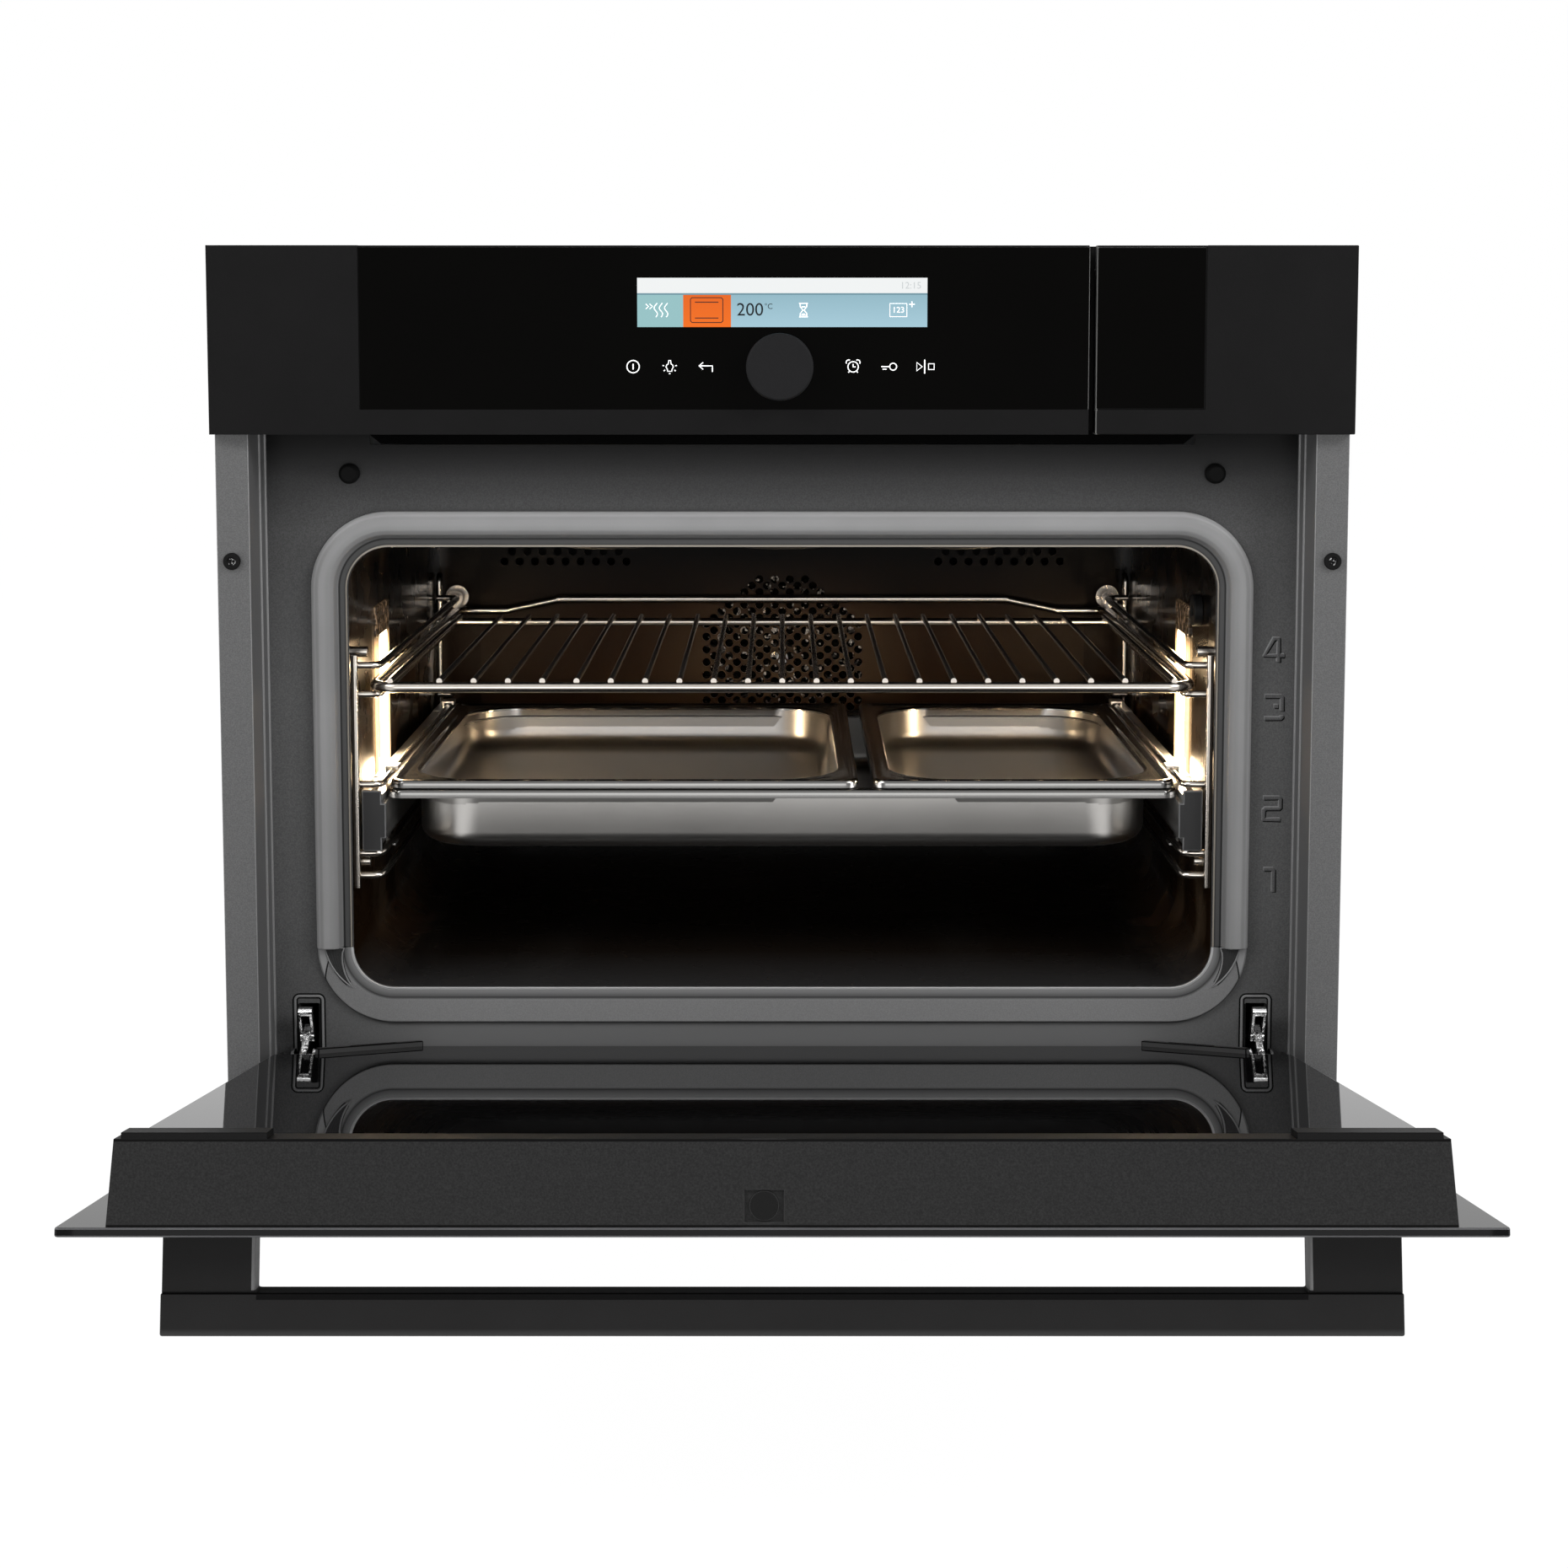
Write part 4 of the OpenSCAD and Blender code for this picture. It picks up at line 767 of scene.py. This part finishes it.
# Cavity
# A deep-drawn enamelled box, glossy and nearly black, with the fan's baffle on its rear wall.
painted_top_shade = (-0.088, -0.034)
fan_z = -0.109
dark_enamel = start("cavity_enamel")
fleck = noise(2600, 2)
wall = blend(fleck.between(0.6, 0.8) * 0.5, (0.0105, 0.0052, 0.0021), (0.023, 0.0135, 0.0068))
# Painted reflections on the floor: paler streaks, and a grey sheen near the front.
on_floor = place(2).between(liner[0].z + 0.03, liner[0].z + 0.004)
painted_floor_streaks = noise(11, 3, (1, 0.35, 1)).between(0.52, 0.75)
wall = blend(on_floor, wall, (0.0065, 0.0058, 0.0052))
wall = blend(on_floor * painted_floor_streaks, wall, (0.02, 0.0175, 0.015))
painted_front_sheen = place(1).between(0.12, 0.035) * on_floor
wall = blend(painted_front_sheen, wall, (0.034, 0.034, 0.035))
# Painted shade: darker across the top of the walls.
wall = blend(place(2).between(*painted_top_shade), wall, (0.0012, 0.0008, 0.0006))
# Painted reflections: warm brown glints streaked over the side walls.
at_side = abs(place(0)).between(liner[1].x - 0.02, liner[1].x - 0.008)
wall = blend(at_side * noise(26, 3, (1, 1, 0.4)).between(0.5, 0.72), wall, (0.085, 0.058, 0.036))
gloss = (at_side + on_floor * 0.35).math("MINIMUM", 1.0)
coat(wall, 0.24 + noise(35) * 0.07, noise(160, 1), 0.00004, Specular_IOR_Level=0.03,
     Coat_Weight=gloss * 0.8, Coat_Roughness=0.12)
baffle_enamel = start("baffle_enamel")
fleck = noise(2600, 2)
centre = Wire.node("ShaderNodeVectorMath", {"operation": "LENGTH"}, {0: Wire.node(
    "ShaderNodeCombineXYZ", inputs={0: place(0), 2: place(2) - fan_z})}, 1)
# Painted light: the sheet paler round the fan, darker further out.
sheet = blend(centre.between(0.05, 0.1), (0.036, 0.024, 0.0155), (0.0135, 0.0072, 0.0032))
sheet = blend(noise(7).between(0.45, 0.7) * 0.6, sheet, (0.026, 0.0165, 0.0095))
# Painted shade: darker across the top.
sheet = blend(place(2).between(*painted_top_shade), sheet, (0.0012, 0.0008, 0.0006))
coat(sheet, 0.3, fleck, 0.00004, Specular_IOR_Level=0.03)
worked("cavity_liner", "cavity_shell", dark_enamel, 0.0)
worked("fan_baffle", "baffle_sheet", baffle_enamel, 0.0)
fan_steel = start("stamped_steel")
coat(blend(noise(190) > 0.6, (0.002, 0.0016, 0.001), (0.3, 0.26, 0.22)), 0.22 + noise(300) * 0.1,
     noise(260, 1), 0.0016, Metallic=1.0)
worked("convection_fan", "fan_wheel", fan_steel, 0.0)
worked("fan_shaft", "fan_axle", zinc, 0.0003)
burnt_tube = start("burnt_tube")
coat(blend(noise(90), (0.02, 0.018, 0.016), (0.05, 0.042, 0.036)), 0.5 + noise(600) * 0.2,
     noise(700), 0.0001, Metallic=0.6)
for node, name in (("ring_heater", "fan_ring_tube"), ("grill_element", "grill_tube"),
                   ("bottom_heater", "floor_tube")):
    worked(node, name, burnt_tube, 0.0)

# Lamps
# A tall ribbed glass lens on each side wall, with a warm tube behind it.
lens_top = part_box("oven_lamps")[1].z
lens_y = 0.159
lamp_glow = start("lamp_lens")
rib = (place(2) * 1100).math("SINE") * 0.5 + 0.5
side_fall = abs(place(1) - lens_y).between(0.0095, 0.0145)
top_fall = place(2).between(lens_top - 0.027, lens_top - 0.017)
warm = blend(side_fall, (1.0, 0.76, 0.48), (0.012, 0.007, 0.003))
faint = blend(noise(500, 2, (1, 1, 0.3)) > 0.6, (0.0001, 0.00006, 0.00003),
              (0.0011, 0.0007, 0.0004))
warm = blend(top_fall, warm, faint)
coat(blend(top_fall, (0.5, 0.42, 0.33), (0.03, 0.022, 0.014)), 0.18, rib, 0.0006,
     Emission_Color=warm, Emission_Strength=170.0)
worked("oven_lamps", "lamp_lenses", lamp_glow, 0.001, 3)
worked("probe_socket", "probe_jack", soft_black, 0.0006, 2)

# Ladders
# Chromed wire ladders hang on studs at the cavity's sides and carry the shelves.
chrome = start("chromed_wire")
coat(blend(noise(18), (0.42, 0.38, 0.34), (0.56, 0.52, 0.47)), 0.2 + noise(240) * 0.06, noise(300),
     0.00002, Metallic=1.0)
for node, name in (("ladder_studs", "ladder_pegs"), ("ladder_left", "left_ladder"),
                   ("ladder_right", "right_ladder"), ("wire_rack", "grid_shelf")):
    worked(node, name, chrome, 0.0)

# Telescopic runners
# Three nested rails a side, rolled from bright steel strip, with a grey stop cap on each front.
rolled = start("rolled_steel")
coat(blend(noise(50, 2, (1, 0.05, 1)), (0.4, 0.4, 0.4), (0.58, 0.57, 0.55)),
     0.24 + noise(500, 2, (1, 0.04, 1)) * 0.18, noise(500, 2, (1, 0.04, 1)), 0.00003, Metallic=1.0)
for node, name in (("runner_rails", "fixed_rails"), ("runner_middle_left", "left_middle_rail"),
                   ("runner_middle_right", "right_middle_rail"), ("runner_slides", "moving_rails")):
    worked(node, name, rolled, 0.0003)
cap_grey = start("cap_grey")
coat(blend(noise(60), (0.016, 0.016, 0.0165), (0.024, 0.024, 0.0245)), 0.36 + noise(800) * 0.1,
     noise(900), 0.00004, Specular_IOR_Level=0.25)
# Painted highlight: a paler grey on the caps' rounded edges.
cap_edge_highlight = start("cap_painted_highlight")
coat(blend(noise(60), (0.09, 0.09, 0.091), (0.15, 0.15, 0.152)), 0.34, noise(900), 0.00004,
     Specular_IOR_Level=0.3)
worked("runner_caps", "rail_caps", cap_grey, 0.0007, 2, rim=cap_edge_highlight)

# Trays
# Two steaming pans on a wide drip tray, each drawn from one satin stainless sheet: a turned-down
# rim, a flat flange with a pressed bead, an edge rounded into the bowl, and a wide round foot.


def satin_steel(name, front, back, foot_z, rim_z, tone):
    """Satin stainless sheet, darker along the cut lip at its front, with painted shade toward the
    rear wall, and rougher on its floor.
    """
    made = start(name)
    brushed = noise(900, 2, (0.12, 1, 1))
    light = blend(noise(9), (tone, tone * 0.97, tone * 0.93),
                  (tone * 1.15, tone * 1.12, tone * 1.08))
    # Painted shade: darker toward the rear wall.
    light = blend(place(1).between(back - 0.05, back - 0.03) * 0.6, light, (0.12, 0.11, 0.1))
    light = blend(place(1) < front + 0.0009, light, (0.15, 0.148, 0.144))
    low = place(2).between(foot_z + 0.003, foot_z + 0.0005)
    flange = place(2).between(rim_z - 0.0036, rim_z - 0.0028)
    coat(light, 0.25 - flange * 0.15 + low * 0.09 + brushed * 0.04 + noise(14) * 0.05, Metallic=1.0)
    return made


def pressed(name, node, rings, thick, tone):
    """A drawn sheet through rounded rectangles (inset, height, corner radius), from rim to foot."""
    low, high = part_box(node)
    middle = (low + high) / 2
    only(nodes["control_panel"])
    bpy.ops.object.select_all(action="DESELECT")
    bpy.ops.mesh.primitive_plane_add(size=1, location=(0, 0, 0))
    piece = bpy.context.object
    piece.name = name
    bpy.ops.object.mode_set(mode="EDIT")
    bpy.ops.mesh.delete(type="VERT")
    count = 36
    for number, (inset, height, radius) in enumerate(rings):
        bpy.ops.mesh.select_all(action="DESELECT")
        bpy.ops.mesh.primitive_plane_add(size=1, location=(middle.x, middle.y, high.z + height))
        wide, deep = high.x - low.x - 2 * inset, high.y - low.y - 2 * inset
        bpy.ops.transform.resize(value=(wide, deep, 1))
        bpy.ops.mesh.bevel(offset=radius, segments=8, affect="VERTICES")
        last = number == len(rings) - 1
        if not last:
            bpy.ops.mesh.delete(type="ONLY_FACE")
    shape = bmesh.from_edit_mesh(piece.data)
    shape.verts.ensure_lookup_table()
    around = [[vert.index for vert in edge.verts] for edge in shape.edges]
    for first, second in around:
        if first // count == second // count < len(rings) - 1:
            corners = (first, second, second + count, first + count)
            shape.faces.new([shape.verts[corner] for corner in corners])
    bmesh.update_edit_mesh(piece.data)
    bpy.ops.mesh.select_all(action="SELECT")
    bpy.ops.mesh.normals_make_consistent(inside=False)
    bpy.ops.object.mode_set(mode="OBJECT")
    sheet = piece.modifiers.new("sheet", "SOLIDIFY")
    sheet.thickness = thick
    sheet.offset = 0
    apply_all(piece)
    bpy.ops.object.shade_smooth_by_angle(angle=math.radians(40))
    wear(piece, satin_steel(name + "_steel", low.y, high.y, high.z + rings[-1][1], high.z, tone))
    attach(piece, nodes[node]["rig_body"])
    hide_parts(node)
    return piece


def tray_rings(lip, rim, depth, corner, foot, draft):
    """Rim, flange, rounded mouth, drafted wall and round foot of a pressed tray, in metres."""
    mm = 0.001
    rings = [(0.4, -rim + 0.4, 8), (0.4, -2.2, 8), (0.7, -1.1, 7.8), (1.3, -0.6, 7.4),
             (2.4, -0.4, 7), (3.4, -0.8, 6.8), (4.2, -1.5, 7), (5.2, -1.9, 9),
             (lip - 2.5, -1.9, corner - 4),
             (lip - 1.2, -1.5, corner), (lip, -1.7, corner), (lip + 0.9, -2.6, corner - 0.5)]
    for step in range(6):
        turn = math.radians(90 * step / 5)
        rings.append((lip + draft + foot * (1 - math.cos(turn)),
                      -depth + foot - foot * math.sin(turn) + 0.4,
                      corner - draft - foot * (1 - math.cos(turn))))
    return [(inset * mm, height * mm, max(radius, 2) * mm) for inset, height, radius in rings]


for node, name, values, tone in (
    ("steam_tray", "drip_tray", (12, 5.4, 36.4, 38, 9, 1), 0.5),
    ("pan_large", "wide_pan", (10, 5, 27, 38, 9, 2.2), 0.44),
    ("pan_small", "narrow_pan", (10, 5, 27, 38, 9, 2.2), 0.44),
):
    pressed(name, node, tray_rings(*values), 0.0008, tone)

# Housing
# Galvanised sheet round the oven, held by small zinc screws, with a fan and duct over the cavity
# and mineral wool between.
galvanised = start("galvanised_sheet")
where = Wire.node("ShaderNodeTexCoord", out="Object")
spangle = Wire.node("ShaderNodeTexVoronoi", inputs={"Vector": where, "Scale": 120.0}, out="Color")
spangle = Wire.node("ShaderNodeRGBToBW", inputs={0: spangle}) * 0.7 + noise(14, 4) * 0.3
coat(blend(spangle, (0.19, 0.2, 0.207), (0.285, 0.297, 0.305)), 0.55 + spangle * 0.16, noise(160),
     0.00003, Metallic=0.6)
for node, name in (("base_pan", "base_sheet"), ("side_panels", "side_sheets"),
                   ("top_cover", "top_sheet"), ("rear_cover", "rear_sheet"),
                   ("air_duct", "air_channel"), ("cooling_housing", "blower_case"),
                   ("fan_motor", "motor_case"), ("steam_generator", "boiler")):
    worked(node, name, galvanised, 0.0004)
wear(nodes["cooling_wheel"], soft_black)
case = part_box("side_panels")
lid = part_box("top_cover")
screw_in, head_out = 0.008, 0.0006
along = [case[0].y + 0.02, (case[0].y + case[1].y) / 2, case[1].y - 0.012]
for side, name in ((-1, "left_cover_screws"), (1, "right_cover_screws")):
    turn = (0, math.radians(90 * side), 0)
    spots = [(side * (case[1].x + head_out), y, z, turn) for y in along
             for z in (case[0].z + screw_in, case[1].z - screw_in)]
    spots += [(side * (lid[1].x - screw_in), y, lid[1].z + head_out, (0, 0, 0)) for y in along]
    heads = []
    for x, y, z, facing in spots:
        bpy.ops.object.select_all(action="DESELECT")
        bpy.ops.mesh.primitive_cylinder_add(vertices=32, radius=0.0036, depth=0.0017,
                                            location=(x, y, z), rotation=facing)
        head = bpy.context.object
        bpy.ops.object.mode_set(mode="EDIT")
        bpy.ops.mesh.select_mode(type="FACE")
        bpy.ops.mesh.select_all(action="DESELECT")
        bpy.ops.object.mode_set(mode="OBJECT")
        for face in head.data.polygons:
            face.select = face.normal.z > 0.9
        bpy.ops.object.mode_set(mode="EDIT")
        bpy.ops.mesh.inset(thickness=0.0004)
        bpy.ops.transform.translate(value=(0, 0, 0.0003), orient_type="LOCAL")
        bpy.ops.mesh.inset(thickness=0.0016)
        bpy.ops.mesh.extrude_region_move(TRANSFORM_OT_translate={"value": (0, 0, -0.0006),
                                                                 "orient_type": "LOCAL"})
        bpy.ops.object.mode_set(mode="OBJECT")
        heads.append(head)
    for head in heads:
        head.select_set(True)
    bpy.ops.object.join()
    screws = bpy.context.object
    screws.name = name
    bpy.ops.object.transform_apply(location=True, rotation=True, scale=True)
    bpy.ops.object.shade_smooth_by_angle(angle=math.radians(35))
    wear(screws, zinc)
    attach(screws, "housing")
wool = start("mineral_wool")
strand = noise(300, 6, (1, 1, 0.15))
coat(blend(strand, (0.28, 0.2, 0.06), (0.55, 0.44, 0.2)), 0.95, strand, 0.002)
wear(nodes["insulation"], wool)

# Hinges
# Chromed hook arms in boxes behind the frame, with a flip latch on each arm.
worked("hinge_receivers", "hinge_boxes", soft_black, 0.0003)
bright_chrome = start("bright_chrome")
coat(blend(noise(160), (0.55, 0.55, 0.55), (0.9, 0.9, 0.9)), 0.09 + noise(240) * 0.05,
     noise(420), 0.0003, Metallic=1.0)
for node, name, edge in (("hinge_arms", "hinge_hooks", 0.0009),
                         ("hinge_latches", "hinge_clips", 0.0006),
                         ("hinge_cases", "hinge_channels", 0.0003)):
    worked(node, name, bright_chrome, edge, 3)
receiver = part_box("hinge_receivers")
slot_x = (receiver[1].x - 0.0065) * 1000
slot_low, slot_high = receiver[0].z * 1000 + 2, receiver[1].z * 1000
for side, name in ((-1, "left_hinge_rim"), (1, "right_hinge_rim")):
    loop = []
    for x, z, turn in ((5.2, -3, 270), (5.2, 3, 0), (-5.2, 3, 90), (-5.2, -3, 180)):
        middle = slot_low if z < 0 else slot_high
        loop += arc(side * slot_x + x, middle - z * 0.8, 2.4, turn, turn + 90, 5)
    strokes(name, shade_enamel, [loop + loop[:1]], 0.0032, face_y, 0.25)
    # The bead round each slot is a painted highlight.
    strokes(name + "_bead", enamel_edge_highlight, [loop + loop[:1]], 0.0014, face_y - 0.0003, 0.5)

# Door
# Three panes in a folded frame under a moulded top trim, and a flat bar handle on two posts.
mirror_black = start("door_mirror_glass")
coat(blend(noise(6), (0.003, 0.003, 0.0032), (0.0045, 0.0045, 0.0048)), 0.012 + noise(300) * 0.01,
     Specular_IOR_Level=0.1)
front_glass = start("door_front_glass")
coat(blend(noise(6), (0.003, 0.003, 0.0032), (0.0045, 0.0045, 0.0048)), 0.02 + noise(300) * 0.01,
     Specular_IOR_Level=0.06)
ground_edge = start("ground_glass_edge")
coat(blend(noise(30, 2, (1, 0.1, 1)), (0.05, 0.05, 0.052), (0.1, 0.1, 0.104)), 0.3,
     Specular_IOR_Level=0.2)
worked("door_inner_glass", "inner_pane", mirror_black, 0.0005, 2, rim=ground_edge)
worked("door_middle_glass", "middle_pane", mirror_black, 0.0003, 1)
worked("door_outer_glass", "outer_pane", front_glass, 0.0008, 2, rim=ground_edge)


hinge = next(joint for joint in frame["joints"] if joint["name"] == "door_hinge")
open_angle = math.radians(hinge["range_deg"][1])
lean, rise = math.cos(open_angle), math.sin(open_angle)
pin_y, pin_z, pin_behind_face = hinge["pos_m"][1], hinge["pos_m"][2], 0.03
face_offset = pin_behind_face - pin_y * lean - pin_z * rise


def from_door_face():
    """Distance behind the outer face of the door as it stands open, in metres."""
    return place(1) * lean + place(2) * rise + face_offset


trim_fold, plug_x, plug_back = 0.0388, -0.0074, 0.0125
frame_black = start("frame_black")
speck = noise(1200, 3)
tone = blend(speck.between(0.35, 0.7), (0.014, 0.014, 0.014), (0.0245, 0.0245, 0.0245))
behind = from_door_face()
tone = blend(behind < 0.0049, tone, (0.001, 0.001, 0.001))
# Painted shade: darker past the fold, on the trim's top face as the door stands open.
tone = blend(behind > trim_fold, tone, (0.0055, 0.0055, 0.0055))
tone = blend(abs(behind - trim_fold) < 0.0004, tone, (0.0006, 0.0006, 0.0006))
across, along = place(0) - plug_x, behind - plug_back
from_plug = (across * across + along * along).math("SQRT")
tone = blend(from_plug < 0.0058, tone, (0.0075, 0.0075, 0.0075))
coat(tone, 0.45 + speck * 0.12, speck, 0.00009, Specular_IOR_Level=0.06)
worked("door_frame", "door_box", frame_black, 0.0004)
seam_black = start("seam_black")
at_plug = abs(place(0) - plug_x) < 0.0092
coat(blend(at_plug, (0.0012, 0.0012, 0.0012), (0.045, 0.045, 0.045)), 0.6 + noise(300) * 0.1,
     Specular_IOR_Level=0.03)
clip_black = start("clip_black")
coat(blend(noise(60), (0.026, 0.026, 0.026), (0.038, 0.038, 0.038)), 0.35 + noise(1500) * 0.15,
     noise(1800, 3), 0.00006, Specular_IOR_Level=0.15)
worked("door_glass_strips", "pane_clips", clip_black, 0.0009, 2, rim=seam_black)
worked("door_top_trim", "top_trim", frame_black, 0.0007, 2, rim=seam_black)
post_x = 0.2202
bar_black = start("bar_black")
grain = noise(1600, 3)
tone = blend(noise(30), (0.0115, 0.0113, 0.0113), (0.015, 0.0148, 0.0148))
behind = from_door_face()
# Painted highlight: the bar's foremost face paler.
tone = blend(behind.between(-0.0415, -0.0447), tone, (0.045, 0.045, 0.045))
seam = abs(behind + 0.0273) < 0.00035
shadow = (abs(behind + 0.0283) < 0.0014) * (abs(place(0)) < post_x - 0.0012)
tone = blend(seam.math("MAXIMUM", shadow), tone, (0.0008, 0.0008, 0.0008))
# Painted highlight: pale bands along the sides of the posts.
post_side_highlight = (abs(abs(place(0)) - post_x) < 0.0013) * (behind > -0.0262)
tone = blend(post_side_highlight, tone, (0.16, 0.16, 0.16))
coat(tone, 0.5 + grain * 0.1, grain, 0.00005, Specular_IOR_Level=0.06)
worked("door_handle", "handle_bar", bar_black, 0.0012, 3)
